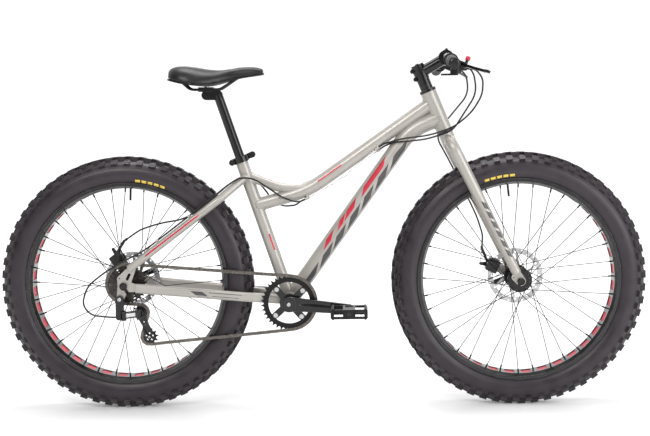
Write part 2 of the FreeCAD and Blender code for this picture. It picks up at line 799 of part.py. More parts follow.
def rear_dropout_blank():
    """The right dropout plate before its slot and holes are cut."""
    axle = (REAR_AXLE.x, REAR_AXLE.z, DROPOUT_BOSS_R)
    chain_lug = (axle[0] + DROPOUT_CHAIN_LUG_X, axle[1] - DROPOUT_CHAIN_LUG_DROP, DROPOUT_LUG_R)
    seat_lug = (axle[0] + DROPOUT_SEAT_LUG_X, axle[1] + DROPOUT_SEAT_LUG_RISE, DROPOUT_LUG_R)
    eyelet = (axle[0] + EYELET_X, axle[1] + EYELET_RISE, EYELET_R)
    low = -REAR_HUB_WIDTH / 2
    plates = [
        round_plate([axle, chain_lug], low - DROPOUT_THICKNESS, low),
        round_plate([axle, seat_lug, eyelet], low - DROPOUT_THICKNESS, low),
    ]
    return fused(plates)


def dropout_window():
    """A slot that lightens both rear dropouts between the axle and the seatstay."""
    ends = []
    for share in DROPOUT_WINDOW_SHARES:
        place = side_point(REAR_AXLE, DROPOUT_SEAT_LUG_X * share, 0, DROPOUT_SEAT_LUG_RISE * share)
        ends.append((place.x, place.z, DROPOUT_WINDOW_R))
    return round_plate(ends, -REAR_HUB_WIDTH, REAR_HUB_WIDTH)


def axle_slot(axle, angle):
    """The slot that an axle drops into, through every plate round it."""
    radius = AXLE_R + RUNNING_FIT
    mouth = axle + direction(angle) * (2 * DROPOUT_BOSS_R)
    ends = [(axle.x, axle.z, radius), (mouth.x, mouth.z, radius)]
    return round_plate(ends, -REAR_HUB_WIDTH, REAR_HUB_WIDTH)


def hanger_point():
    return side_point(REAR_AXLE, HANGER_X, 0, -HANGER_DROP)


def caliper_pivot(axle, angle):
    return axle + direction(angle) * (ROTOR_R - CALIPER_PIVOT_INSET)


def dropouts():
    blank = rear_dropout_blank()
    slot = axle_slot(REAR_AXLE, DROPOUT_SLOT_ANGLE)
    eyelet = cross_rod(side_point(REAR_AXLE, EYELET_X, 0, EYELET_RISE), -WHEELBASE, WHEELBASE, EYELET_BORE_R)
    low = -REAR_HUB_WIDTH / 2
    axle = (REAR_AXLE.x, REAR_AXLE.z, DROPOUT_BOSS_R)
    pivot = hanger_point()
    hanger = round_plate([axle, (pivot.x, pivot.z, HANGER_R)], low - DROPOUT_THICKNESS, low)
    hanger_hole = cross_rod(pivot, -WHEELBASE, WHEELBASE, HANGER_BOLT_R + SEAT_GAP)
    window = dropout_window()
    right = fused([blank, hanger]).cut([slot, eyelet, hanger_hole, window])
    pivot = caliper_pivot(REAR_AXLE, REAR_CALIPER_ANGLE)
    lug = round_plate([axle, (pivot.x, pivot.z, CALIPER_LUG_R)], -low, -low + DROPOUT_THICKNESS)
    lug_hole = cross_rod(pivot, -WHEELBASE, WHEELBASE, CALIPER_PIN_R + CLEARANCE)
    left = fused([mirrored(blank), lug]).cut([slot, eyelet, lug_hole, window])
    return [right, left]


# Headset, fork, stem
def headset_cups():
    bore = STEERER_R + RUNNING_FIT
    low = LOWER_STACK
    top = HEAD_TUBE_TOP
    cups = []
    for base, face, outer in ((low, RACE_HEIGHT + CLEARANCE, low + HEADSET_SKIRT),
                              (top, top + UPPER_CUP_HEIGHT, top - HEADSET_SKIRT)):
        lip = sleeve(head_point(0, 0, base), head_point(0, 0, face), HEADSET_CUP_R, bore)
        skirt = sleeve(head_point(0, 0, base), head_point(0, 0, outer), HEAD_TUBE_BORE_R, bore)
        cups.append(fused([lip, skirt]))
    return cups


def fork_corner(side):
    return head_point(0, side * BLADE_Y, -CROWN_DROP)


def blade_down():
    foot = head_point(FORK_RAKE, 0, -FORK_LENGTH)
    return (foot - head_point(0, 0, -CROWN_DROP)).normalize()


def blade_end():
    return (FRONT_AXLE - head_point(0, 0, -CROWN_DROP)).Length - BLADE_END_RISE


def fork_dropout_blank(side):
    foot = fork_corner(side) + blade_down() * blade_end()
    axle = (FRONT_AXLE.x, FRONT_AXLE.z, FORK_DROPOUT_R)
    tang = foot - blade_down() * BLADE_TANG_R
    eyelet = (FRONT_AXLE.x - FORK_EYELET_BACK, FRONT_AXLE.z + FORK_EYELET_RISE, EYELET_R)
    face = side * FRONT_HUB_WIDTH / 2
    ends = sorted((face, face + side * DROPOUT_THICKNESS))
    tip = (tang.x, tang.z, BLADE_TANG_R)
    root = (foot.x, foot.z, BLADE_TANG_R)
    plates = [round_plate([axle, tip], *ends), round_plate([axle, root, eyelet], *ends)]
    if side > 0:
        pivot = caliper_pivot(FRONT_AXLE, FRONT_CALIPER_ANGLE)
        plates.append(round_plate([axle, (pivot.x, pivot.z, CALIPER_LUG_R)], *ends))
    return fused(plates)


def fork():
    down = blade_down()
    ends = [fork_corner(side) + down * (CROWN_BEND_R + BLADE_TOP_R) for side in (-1, 1)]
    arch = pipe([ends[0], fork_corner(-1), fork_corner(1), ends[1]], BLADE_TOP_R, CROWN_BEND_R)
    solids = [arch, rod(head_point(0, 0, -CROWN_HEIGHT), head_point(0, 0, 0), CROWN_R)]
    solids.append(rod(head_point(0, 0, 0), head_point(0, 0, RACE_HEIGHT), RACE_R))
    solids.append(rod(head_point(0, 0, 0), head_point(0, 0, STEM_TOP), STEERER_R))
    hollows = [rod(head_point(0, 0, 0), head_point(0, 0, STEM_TOP + CUT_OVERRUN), STEERER_R - STEERER_WALL)]
    plates = []
    slot = axle_slot(FRONT_AXLE, HEAD_ANGLE - 180)
    place = side_point(FRONT_AXLE, -FORK_EYELET_BACK, 0, FORK_EYELET_RISE)
    eyelet = cross_rod(place, -WHEELBASE, WHEELBASE, EYELET_BORE_R)
    pin = cross_rod(caliper_pivot(FRONT_AXLE, FRONT_CALIPER_ANGLE), 0, WHEELBASE, CALIPER_PIN_R + CLEARANCE)
    for side, start in zip((-1, 1), ends):
        foot = fork_corner(side) + down * blade_end()
        run = (foot - start).Length
        solids.append(Part.makeCone(BLADE_TOP_R, BLADE_LOW_R, run, start, down))
        bore = run - BLADE_PLUG
        hollows.append(Part.makeCone(BLADE_TOP_R - TUBE_WALL, BLADE_LOW_R - TUBE_WALL, bore, start, down))
        plates.append(fork_dropout_blank(side))
    body = fused(solids).cut(hollows + plates)
    return [body] + [plate.cut([slot, eyelet, pin]) for plate in plates]


def headset_spacers():
    rings = []
    for i in range(SPACER_COUNT):
        low = SPACER_LOW + i * SPACER_HEIGHT
        high = low + SPACER_HEIGHT
        rings.append(sleeve(head_point(0, 0, low), head_point(0, 0, high), SPACER_R, STEERER_R))
    cap = rod(head_point(0, 0, STEM_TOP), head_point(0, 0, STEM_TOP + TOP_CAP_HEIGHT), SPACER_R)
    bolt_low = STEM_TOP + TOP_CAP_HEIGHT
    bolt = rod(head_point(0, 0, bolt_low), head_point(0, 0, bolt_low + STEM_BOLT_HEAD / 2), TOP_CAP_BOLT_R)
    return rings + [cap, bolt]


def stem():
    ahead = (BAR_CENTRE - head_point(0, 0, STEM_MIDDLE)).normalize()
    clamp = rod(head_point(0, 0, STEM_LOW), head_point(0, 0, STEM_TOP), STEM_CLAMP_R)
    body = rod(head_point(0, 0, STEM_MIDDLE), BAR_CENTRE, STEM_BODY_R)
    ring = cross_rod(BAR_CENTRE, -STEM_BAR_CLAMP_WIDTH / 2, STEM_BAR_CLAMP_WIDTH / 2, STEM_BAR_CLAMP_R)
    whole = fused([clamp, body, ring])
    steerer = rod(head_point(0, 0, 0), head_point(0, 0, STEM_TOP + CUT_OVERRUN), STEERER_R)
    bar = cross_rod(BAR_CENTRE, -STEM_BAR_CLAMP_WIDTH, STEM_BAR_CLAMP_WIDTH, BAR_CLAMP_R + SEAT_GAP)
    up = ahead.cross(Y) * -1
    size = 4 * STEM_BAR_CLAMP_R
    block = middle_box(size, size, size)
    front = placed(block, BAR_CENTRE + ahead * (size + FACEPLATE_GAP) / 2, ahead, up)
    back = placed(block, BAR_CENTRE + ahead * (size - FACEPLATE_GAP) / 2, ahead, up)
    screws = []
    heads = []
    seats = []
    for side, level in ((-1, -1), (-1, 1), (1, -1), (1, 1)):
        base = BAR_CENTRE + Y * (side * STEM_BOLT_OFFSET_Y) + up * (level * STEM_BOLT_SPREAD)
        tip = base + ahead * (STEM_BAR_CLAMP_R / 2)
        head = rod(tip, tip + ahead * STEM_BOLT_HEAD, STEM_BOLT_HEAD_R)
        screws.append(rod(base - ahead * STEM_BAR_CLAMP_R, base + ahead * STEM_BAR_CLAMP_R, STEM_BOLT_R))
        heads.append(fused([rod(base, tip, STEM_BOLT_R), head]))
        seats.append(rod(tip, tip + ahead * STEM_BAR_CLAMP_R, STEM_BOLT_HEAD_R + CLEARANCE))
    rear = whole.cut([steerer, bar, back] + screws)
    plate = whole.common(front).cut([bar] + screws + seats)
    pinch = []
    lugs = []
    half = Y * (PINCH_BOLT_LENGTH / 2)
    lug = Y * (PINCH_BOLT_LENGTH / 2 - STEM_BOLT_HEAD)
    for level in (-1, 1):
        base = head_point(-STEM_CLAMP_R, 0, STEM_MIDDLE + level * PINCH_BOLT_SPREAD)
        pinch.append(rod(base - half, base + half, STEM_BOLT_HEAD_R))
        lugs.append(rod(base - lug, base + lug, STEM_BOLT_HEAD_R + TUBE_WALL))
    rear = fused([rear] + [piece.cut(steerer) for piece in lugs]).cut(pinch)
    pinch = [p.cut(steerer) for p in pinch]
    return [rear, plate] + heads + pinch


# Handlebar and its controls
def bar_end(side):
    return side_point(BAR_CENTRE, -BAR_END_BACK, side * BAR_HALF_WIDTH, -BAR_END_DROP)


def bar_out(side):
    return (bar_end(side) - side_point(BAR_CENTRE, 0, side * BAR_BEND_Y, 0)).normalize()


def bar_points():
    bends = [side_point(BAR_CENTRE, 0, side * BAR_BEND_Y, 0) for side in (-1, 1)]
    return [bar_end(-1), bends[0], bends[1], bar_end(1)]


def lever_forward():
    return direction(LEVER_PLANE_ANGLE)


def bar_place(side, from_end, forward, up):
    """A point beside the bar: this far in from its end, then forward and up in the lever's plane."""
    base = bar_end(side) - bar_out(side) * from_end
    return base + lever_forward() * forward + direction(LEVER_PLANE_ANGLE + 90) * up


def handlebar():
    tube = pipe(bar_points(), BAR_R, BAR_BEND_R)
    bulge = cross_rod(BAR_CENTRE, -BAR_BULGE_HALF, BAR_BULGE_HALF, BAR_CLAMP_R)
    return fused([tube, bulge]).cut(pipe(bar_points(), BAR_R - BAR_WALL, BAR_BEND_R))


def grips():
    both = []
    for side in (-1, 1):
        out = bar_out(side)
        end = bar_end(side)
        inner = end - out * GRIP_LENGTH
        sleeve_part = sleeve(inner, end, GRIP_R, BAR_R)
        flange = sleeve(inner, inner + out * GRIP_FLANGE, GRIP_FLANGE_R, BAR_R)
        cap = rod(end, end + out * GRIP_CAP, GRIP_R)
        both.append(fused([sleeve_part, flange, cap]))
    return both


def lever_axis():
    return direction(LEVER_PLANE_ANGLE + 90)


def lever_pivot(side):
    return bar_place(side, PERCH_FROM_END - LEVER_PIVOT_OUT, LEVER_PIVOT_FORWARD, 0)


def flat_piece(side, discs, thickness):
    """A plate in the plane of the brake lever: discs are (distance out from the perch, forward, radius)."""
    base = bar_place(side, PERCH_FROM_END, 0, 0)
    face = round_face([(out, forward, radius) for out, forward, radius in discs])
    solid = face.extrude(Y * thickness)
    solid.translate(Y * (-thickness / 2))
    up = lever_axis()
    out = bar_out(side)
    out = (out - up * out.dot(up)).normalize()
    forward = up.cross(out) * -side
    turn = FreeCAD.Rotation(out, up * -side, forward, "XZY")
    solid.Placement = FreeCAD.Placement(base, turn).multiply(solid.Placement)
    return solid


def brake_perches():
    both = []
    for side in (-1, 1):
        base = bar_place(side, PERCH_FROM_END, 0, 0)
        half = bar_out(side) * (PERCH_WIDTH / 2)
        ring = rod(base - half, base + half, PERCH_RING_R)
        arm = flat_piece(side, [(LEVER_PIVOT_OUT, PERCH_ARM, PERCH_ARM_R), (0, 0, PERCH_ARM_R)], PERCH_HEIGHT)
        tip = bar_place(side, PERCH_FROM_END, LEVER_PIVOT_FORWARD, 0)
        barrel = rod(tip, tip - bar_out(side) * PERCH_BARREL_LENGTH, PERCH_BARREL_R)
        pin = rod(lever_pivot(side) - lever_axis() * (PERCH_HEIGHT / 2),
                  lever_pivot(side) + lever_axis() * (PERCH_HEIGHT / 2), LEVER_PIN_R)
        far = 4 * PERCH_ARM_R
        room = LEVER_BOSS_R + CLEARANCE
        sweep = [(LEVER_PIVOT_OUT + far, PERCH_ARM + far, room), (LEVER_PIVOT_OUT, PERCH_ARM, room),
                 (LEVER_PIVOT_OUT + far, PERCH_ARM - far, room)]
        slot = flat_piece(side, sweep, LEVER_SLOT)
        bar = rod(bar_end(side), bar_end(side) - bar_out(side) * (2 * PERCH_FROM_END - BAR_BEND_Y), BAR_R)
        body = fused([ring, arm, barrel]).cut([bar, slot])
        both.append(fused([body, pin]))
    return both


def brake_lever(side):
    knee = (LEVER_KNEE_OUT, LEVER_KNEE_FORWARD, LEVER_BLADE_R)
    bend = (LEVER_BEND_OUT, LEVER_BEND_FORWARD, LEVER_BLADE_R)
    pivot = (LEVER_PIVOT_OUT, LEVER_PIVOT_FORWARD, LEVER_BOSS_R)
    tip = (LEVER_TIP_OUT, LEVER_TIP_FORWARD, LEVER_TIP_R)
    pairs = ([pivot, knee], [knee, bend], [bend, tip])
    parts = [flat_piece(side, pair, LEVER_THICKNESS) for pair in pairs]
    axis = lever_axis() * PERCH_HEIGHT
    hole = rod(lever_pivot(side) - axis, lever_pivot(side) + axis, LEVER_PIN_R + RUNNING_FIT)
    return fused(parts).cut(hole)


def shifter_pod_point(from_end):
    base = bar_end(-1) - bar_out(-1) * from_end
    return side_point(base, SHIFTER_POD_FORWARD, 0, -SHIFTER_POD_DROP)


def shifter():
    base = bar_end(-1) - bar_out(-1) * SHIFTER_FROM_END
    half = bar_out(-1) * (SHIFTER_RING_WIDTH / 2)
    bar = rod(bar_end(-1), base - half * 4, BAR_R)
    ring = rod(base - half, base + half, PERCH_RING_R)
    pod = shifter_pod_point(SHIFTER_FROM_END)
    low = pod - Z * (SHIFTER_POD_HEIGHT / 2)
    shell = rod(low, low + Z * SHIFTER_POD_HEIGHT, SHIFTER_POD_R)
    nose = rod(pod, side_point(pod, SHIFTER_POD_LENGTH, 0, 0), PERCH_BARREL_R)
    neck = rod(pod, base, SHIFTER_RING_WIDTH / 2)
    pin = rod(low - Z * SHIFTER_LEVER_THICKNESS, low, LEVER_PIN_R)
    return fused([ring, shell, nose, neck, pin]).cut(bar)


def shifter_lever_pivot():
    return shifter_pod_point(SHIFTER_FROM_END) - Z * (SHIFTER_POD_HEIGHT / 2)


def shifter_lever():
    pivot = shifter_lever_pivot()
    top = -CLEARANCE
    discs = [(0, 0, SHIFTER_POD_R / 2), (SHIFTER_LEVER_LENGTH, 0, SHIFTER_LEVER_R)]
    face = round_face(discs)
    plate = face.extrude(Y * SHIFTER_LEVER_THICKNESS)
    paddle = placed(plate, pivot + Z * (top - SHIFTER_LEVER_THICKNESS), V(-1, 0, 0), V(0, 1, 0))
    hole = rod(pivot - Z * SHIFTER_POD_HEIGHT, pivot + Z * SHIFTER_POD_HEIGHT, LEVER_PIN_R + RUNNING_FIT)
    return paddle.cut(hole)


# Seatpost, clamp and saddle
def seat_clamp():
    top = SEAT_TUBE_LENGTH + COLLAR_LIP
    low = top - COLLAR_HEIGHT
    ring = rod(seat_point(low), seat_point(top), COLLAR_R)
    bolt_at = collar_bolt_point()
    lug = cross_rod(bolt_at, -COLLAR_LUG_WIDTH / 2, COLLAR_LUG_WIDTH / 2, COLLAR_LUG_R)
    slit = placed(middle_box(COLLAR_LUG_BACK * 2, COLLAR_SLIT, COLLAR_LUG_BACK * 2), bolt_at, direction(0), Z)
    tube = rod(seat_point(low - CUT_OVERRUN), seat_point(SEAT_TUBE_LENGTH), SEAT_TUBE_R)
    post = rod(seat_point(low), seat_point(top + CUT_OVERRUN), SEATPOST_R + RUNNING_FIT)
    hole = cross_rod(bolt_at, -COLLAR_R, COLLAR_R, COLLAR_BOLT_R)
    nut = COLLAR_LUG_WIDTH / 2
    bolt = cross_rod(bolt_at, -nut, nut, COLLAR_BOLT_R)
    head = cross_rod(bolt_at, -nut - COLLAR_BOLT_R, -nut, COLLAR_LUG_R)
    washer = cross_rod(bolt_at, nut, nut + CAM_WASHER, CAM_WASHER_R + CLEARANCE)
    collar = fused([ring, lug]).cut([slit, tube, post, hole, head, washer])
    return [collar, fused([bolt, head] + cam_post(bolt_at, nut, COLLAR_LEVER_ANGLE))]


def collar_bolt_point():
    middle = seat_point(SEAT_TUBE_LENGTH + COLLAR_LIP - COLLAR_HEIGHT / 2)
    return middle - direction(90 - SEAT_ANGLE) * COLLAR_LUG_BACK


def rail_clamp_point():
    top = seat_point(SEATPOST_TOP_RISE)
    return side_point(top, -POST_HEAD_BACK, 0, POST_HEAD_R + POST_HEAD_RISE)


def seatpost():
    top = seat_point(SEATPOST_TOP_RISE)
    foot = seat_point(SEATPOST_TOP_RISE - SEATPOST_LENGTH)
    tube = sleeve(foot, top, SEATPOST_R, SEATPOST_R - SEATPOST_WALL)
    back = side_point(top, -POST_HEAD_BACK, 0, POST_HEAD_RISE)
    head = round_plate([(back.x, back.z, POST_HEAD_R), (top.x, top.z, POST_HEAD_R)],
                       -POST_HEAD_WIDTH / 2, POST_HEAD_WIDTH / 2)
    clamp = side_point(rail_clamp_point(), 0, 0, RAIL_LIFT)
    width = 2 * (RAIL_Y + RAIL_CLAMP_EDGE)
    rails = [rod(side_point(clamp, -RAIL_CLAMP_LENGTH, s * RAIL_Y, 0),
                 side_point(clamp, RAIL_CLAMP_LENGTH, s * RAIL_Y, 0), RAIL_R + SEAT_GAP) for s in (-1, 1)]
    lift = (RAIL_CLAMP_HEIGHT + RAIL_CLAMP_GAP) / 2
    block = middle_box(RAIL_CLAMP_LENGTH, width, RAIL_CLAMP_HEIGHT)
    crest = RAIL_CLAMP_HEIGHT + RAIL_CLAMP_GAP / 2
    bolt = rod(side_point(clamp, 0, 0, -POST_HEAD_R), side_point(clamp, 0, 0, crest), RAIL_BOLT_R)
    nut = rod(side_point(clamp, 0, 0, crest), side_point(clamp, 0, 0, crest + RAIL_NUT), 2 * RAIL_BOLT_R)
    screw = fused([bolt, nut])
    body = fused([tube, head.cut(rod(seat_point(0), top, SEATPOST_R - SEATPOST_WALL))])
    low = block.translated(clamp - Z * lift).cut(rails + [screw])
    high = block.translated(clamp + Z * lift).cut(rails + [screw])
    body = body.cut([block.translated(clamp - Z * lift), screw])
    return [body, low, high, screw]


def saddle_rail(side):
    clamp = side_point(rail_clamp_point(), 0, 0, RAIL_LIFT)
    points = [
        side_point(clamp, -RAIL_REAR_X, side * RAIL_REAR_Y, RAIL_REAR_RISE),
        side_point(clamp, -RAIL_SPAN_BACK, side * RAIL_Y, 0),
        side_point(clamp, RAIL_SPAN_FRONT, side * RAIL_Y, 0),
        side_point(clamp, RAIL_NOSE_X, side * RAIL_NOSE_Y, RAIL_NOSE_RISE),
    ]
    return pipe(points, RAIL_R, RAIL_BEND_R)


def saddle_station(shares):
    """Where one cross-section of the saddle stands: x, half width, bottom and top."""
    along, half, low, high = shares
    clamp = rail_clamp_point()
    base = clamp.z + SADDLE_BASE_RISE
    return (clamp.x - SADDLE_REAR_X + along * SADDLE_LENGTH, half * SADDLE_HALF_WIDTH,
            base + low * SADDLE_HEIGHT, base + high * SADDLE_HEIGHT)


def saddle_pad():
    """A crowned pad: wide wings at the back, a dip in the middle and a narrow nose."""
    wires = []
    for shares in SADDLE_STATION_SHARES:
        x, half, low, high = saddle_station(shares)
        shoulder = low + SADDLE_SHOULDER_RISE_SHARE * (high - low)
        right = V(x, -half, low)
        left = V(x, half, low)
        top = V(x, 0, high)
        wires.append(Part.Wire([
            Part.LineSegment(right, left).toShape(),
            Part.Arc(left, V(x, half * SADDLE_SHOULDER_SHARE, shoulder), top).toShape(),
            Part.Arc(top, V(x, -half * SADDLE_SHOULDER_SHARE, shoulder), right).toShape(),
        ]))
    return Part.makeLoft(wires, True, False)


def saddle_shell():
    """The moulded shell under the pad, which carries the rails."""
    wires = []
    for shares in SADDLE_STATION_SHARES:
        x, half, low = saddle_station(shares)[:3]
        half *= SADDLE_BASE_INSET_SHARE
        top = low - CLEARANCE
        low = top - SADDLE_BASE_THICKNESS
        corners = [V(x, -half, low), V(x, half, low), V(x, half, top), V(x, -half, top)]
        wires.append(Part.makePolygon(corners + corners[:1]))
    return Part.makeLoft(wires, True, False)


def saddle_base():
    rails = [saddle_rail(side) for side in (-1, 1)]
    pad = saddle_pad()
    shell = saddle_shell()
    return [shell.cut(rails)] + [rail.cut(pad) for rail in rails]


# Wheels
def casing():
    """The tyre's section turned round its axle, open towards the rim."""
    def arc(points):
        a, b, c = (V(0, y, r) for r, y in points)
        return Part.Arc(a, b, c).toShape()

    def line(points):
        a, b = (V(0, y, r) for r, y in points)
        return Part.LineSegment(a, b).toShape()

    wall = CASING_WALL
    lip = BEAD_R + BEAD_HEIGHT
    outer = ((lip, BEAD_Y), (CASING_WIDEST_R, CASING_HALF_WIDTH), (SHOULDER_R, SHOULDER_Y), (CASING_R, 0))
    inner = ((lip, BEAD_Y - wall), (CASING_WIDEST_R, CASING_HALF_WIDTH - wall),
             (SHOULDER_R - wall, SHOULDER_Y - wall), (CASING_R - wall, 0))
    edges = []
    for foot, side, shoulder, crown in (outer, inner):
        flip = [(r, -y) for r, y in (foot, side, shoulder)]
        edges += [arc((foot, side, shoulder)), arc((shoulder, crown, flip[2])), arc(flip)]
        edges += [line(((BEAD_R, end[1]), end)) for end in (foot, flip[0])]
    for sign in (-1, 1):
        edges.append(line(((BEAD_R, sign * BEAD_Y), (BEAD_R, sign * (BEAD_Y - wall)))))
    wire = Part.Wire(Part.__sortEdges__(edges))
    return Part.Face(wire).revolve(ORIGIN, Y, 360)


def knobs():
    """The tread blocks: two staggered crown rows and two leaning shoulder rows."""
    step = 360.0 / TREAD_PITCHES
    top = math.sqrt(TYRE_R**2 - (KNOB_LENGTH / 2)**2)
    height = top - CASING_R + KNOB_SINK
    blocks = []
    for side in (-1, 1):
        crown = middle_box(KNOB_LENGTH, KNOB_WIDTH, height)
        crown.translate(V(0, side * KNOB_Y, top - height / 2))
        lean = math.radians(SIDE_KNOB_TILT)
        rise = SIDE_KNOB_HEIGHT / 2
        edge = middle_box(SIDE_KNOB_LENGTH, SIDE_KNOB_WIDTH, SIDE_KNOB_HEIGHT + KNOB_SINK)
        edge.rotate(ORIGIN, V(1, 0, 0), -side * SIDE_KNOB_TILT)
        out = SHOULDER_Y + rise * math.sin(lean) - KNOB_SINK / 2
        edge.translate(V(0, side * out, SHOULDER_R + rise * math.cos(lean)))
        for i in range(TREAD_PITCHES):
            shift = (i + side / 4) * step
            blocks.append(crown.rotated(ORIGIN, Y, shift))
            blocks.append(edge.rotated(ORIGIN, Y, shift + step / 2))
    return blocks


def inner_tube(valve_angle):
    """The hollow ring inside the tyre and the valve that comes from it through the rim."""
    ring = Part.makeTorus(TUBE_CENTRE_R, TUBE_R, ORIGIN, Y)
    outward = direction(valve_angle)
    valve = rod(outward * VALVE_INNER_R, outward * TUBE_CENTRE_R, VALVE_R).cut(ring)
    return [ring.cut(Part.makeTorus(TUBE_CENTRE_R, TUBE_R - TUBE_SKIN, ORIGIN, Y)), valve]


def rim(valve_angle):
    wall = RIM_WALL
    half = RIM_HALF_WIDTH
    outside = [(RIM_BED_R, RIM_BED_HALF), (RIM_KNEE_R, half), (RIM_FLANGE_R, half)]
    inside = [(RIM_FLANGE_R, half - wall), (RIM_KNEE_R + wall, half - wall)]
    inside.append((RIM_BED_R + wall, RIM_BED_HALF - wall))
    left = outside + inside
    ring = turned(left + [(radius, -y) for radius, y in reversed(left)], ORIGIN)
    x = RIM_CUT_LENGTH / 2 - RIM_CUT_CORNER
    y = RIM_CUT_WIDTH / 2 - RIM_CUT_CORNER
    face = round_face([(s * x, t * y, RIM_CUT_CORNER) for s, t in ((-1, -1), (1, -1), (1, 1), (-1, 1))])
    window = face.extrude(Y * (2 * CUT_OVERRUN))
    window = placed(window, V(0, 0, RIM_BED_R - CUT_OVERRUN), V(1, 0, 0), Y * -1)
    step = 360.0 / SPOKE_COUNT
    cuts = [window.rotated(ORIGIN, Y, i * step + step / 2) for i in range(SPOKE_COUNT)]
    outward = direction(valve_angle)
    cuts.append(rod(outward * VALVE_INNER_R, outward * RIM_FLANGE_R, VALVE_R + CLEARANCE))
    return ring, cuts


def rim_strip(valve_angle):
    low = RIM_BED_R + RIM_WALL + RUNNING_FIT
    half = RIM_STRIP_HALF
    high = low + RIM_STRIP_THICKNESS
    strip = turned([(low, -half), (low, half), (high, half), (high, -half)], ORIGIN)
    outward = direction(valve_angle)
    return strip.cut(rod(outward * VALVE_INNER_R, outward * RIM_FLANGE_R, VALVE_R + CLEARANCE))


def spoke_lines(right_y, left_y):
    """Each spoke's hub end, rim end and flange: alternate rim holes go to alternate flanges."""
    lines = []
    step = 360.0 / SPOKE_COUNT
    sweep = SPOKE_CROSSES * 2 * step
    for i in range(SPOKE_COUNT):
        side = -1 if i % 2 == 0 else 1
        flange = right_y if side < 0 else left_y
        leading = (i // 2) % 2 == 0
        angle = 90 + i * step
        hub = direction(angle + (sweep if leading else -sweep)) * FLANGE_HOLE_R
        offset = FLANGE_THICKNESS / 2 + SPOKE_R + CLEARANCE
        lift = side * (offset + SPOKE_BOW) if leading else -side * offset
        end = direction(angle) * RIM_BED_R + Y * (side * SPOKE_RIM_Y)
        lines.append((hub + Y * (flange + lift), end, flange))
    return lines


def spokes(right_y, left_y):
    solids = []
    for hub, end, flange in spoke_lines(right_y, left_y):
        ahead = (end - hub).normalize()
        seat = end + ahead * RIM_WALL
        throat = seat - ahead * NIPPLE_LENGTH
        through = V(hub.x, 2 * flange - hub.y, hub.z)
        if abs(through.y - flange) > FLANGE_THICKNESS:
            through.y = flange + math.copysign(FLANGE_THICKNESS / 2 + SPOKE_R, through.y - flange)
        elbow = Part.makeSphere(SPOKE_R, hub)
        wire = fused([rod(hub, throat, SPOKE_R), rod(hub, through, SPOKE_R), elbow])
        solids += [wire, rod(throat, seat - ahead * (3 * CLEARANCE), NIPPLE_R)]
    return solids


def nipple_holes(right_y, left_y):
    holes = []
    for start, end, _ in spoke_lines(right_y, left_y):
        ahead = (end - start).normalize()
        holes.append(rod(end - ahead * CUT_OVERRUN, end + ahead * CUT_OVERRUN, NIPPLE_HOLE_R))
    return holes


def hub(right_y, left_y, right_end, left_end, rotor_y):
    """A hub shell with two drilled flanges and, on the left, the face that carries the rotor."""
    half = FLANGE_THICKNESS / 2
    bore = AXLE_R + RUNNING_FIT
    face = rotor_y - ROTOR_THICKNESS / 2
    seat = ROTOR_BORE_R - SEAT_GAP
    outline = [
        (bore, right_end), (HUB_NECK_R, right_end), (HUB_NECK_R, right_y - half),
        (FLANGE_R, right_y - half), (FLANGE_R, right_y + half), (HUB_NECK_R, right_y + half),
        (HUB_BODY_R, right_y + HUB_NECK_R), (HUB_BODY_R, left_y - HUB_NECK_R),
        (HUB_NECK_R, left_y - half), (FLANGE_R, left_y - half), (FLANGE_R, left_y + half),
        (HUB_NECK_R, left_y + half), (HUB_NECK_R, face - FLANGE_THICKNESS),
        (ROTOR_CARRIER_R, face - FLANGE_THICKNESS), (ROTOR_CARRIER_R, face),
        (seat, face), (seat, left_end), (bore, left_end),
    ]
    shell = turned(outline, ORIGIN)
    holes = []
    for place, _, flange in spoke_lines(right_y, left_y):
        low = V(place.x, flange - FLANGE_THICKNESS, place.z)
        holes.append(rod(low, low + Y * (2 * FLANGE_THICKNESS), SPOKE_HOLE_R))
    return shell.cut(holes)


def rotor(rotor_y):
    low = rotor_y - ROTOR_THICKNESS / 2
    high = rotor_y + ROTOR_THICKNESS / 2
    track = cross_sleeve(ORIGIN, low, high, ROTOR_R, ROTOR_INNER_R)
    carrier = cross_rod(ORIGIN, low, high, ROTOR_CARRIER_R)
    arms = []
    bolts = []
    holes = [cross_rod(ORIGIN, low - CUT_OVERRUN, high + CUT_OVERRUN, ROTOR_BORE_R)]
    for i in range(ROTOR_ARM_COUNT):
        angle = i * 360.0 / ROTOR_ARM_COUNT
        inner = direction(angle) * (ROTOR_CARRIER_R - ROTOR_ARM_R)
        outer = direction(angle + ROTOR_ARM_SWEEP) * (ROTOR_INNER_R + ROTOR_ARM_R)
        ends = [(inner.x, inner.z, ROTOR_ARM_R), (outer.x, outer.z, ROTOR_ARM_R)]
        arms.append(round_plate(ends, low, high))
        bolt = direction(angle + 180.0 / ROTOR_ARM_COUNT) * ROTOR_BOLT_CIRCLE_R
        bolts.append(cross_rod(bolt, high, high + ROTOR_BOLT_HEAD, ROTOR_BOLT_R))
    for i in range(ROTOR_HOLE_COUNT):
        radius = ROTOR_R - ROTOR_HOLE_INSET if i % 2 else ROTOR_INNER_R + ROTOR_HOLE_INSET
        place = direction(i * 360.0 / ROTOR_HOLE_COUNT) * radius
        holes.append(cross_rod(place, low - CUT_OVERRUN, high + CUT_OVERRUN, ROTOR_HOLE_R))
    return [fused([track, carrier] + arms).cut(holes)] + bolts


def cam_pivot(centre, face):
    """Where a cam lever turns, beyond the washer that stands on this face."""
    return V(centre.x, face + CAM_WASHER + CAM_R + CLEARANCE, centre.z)


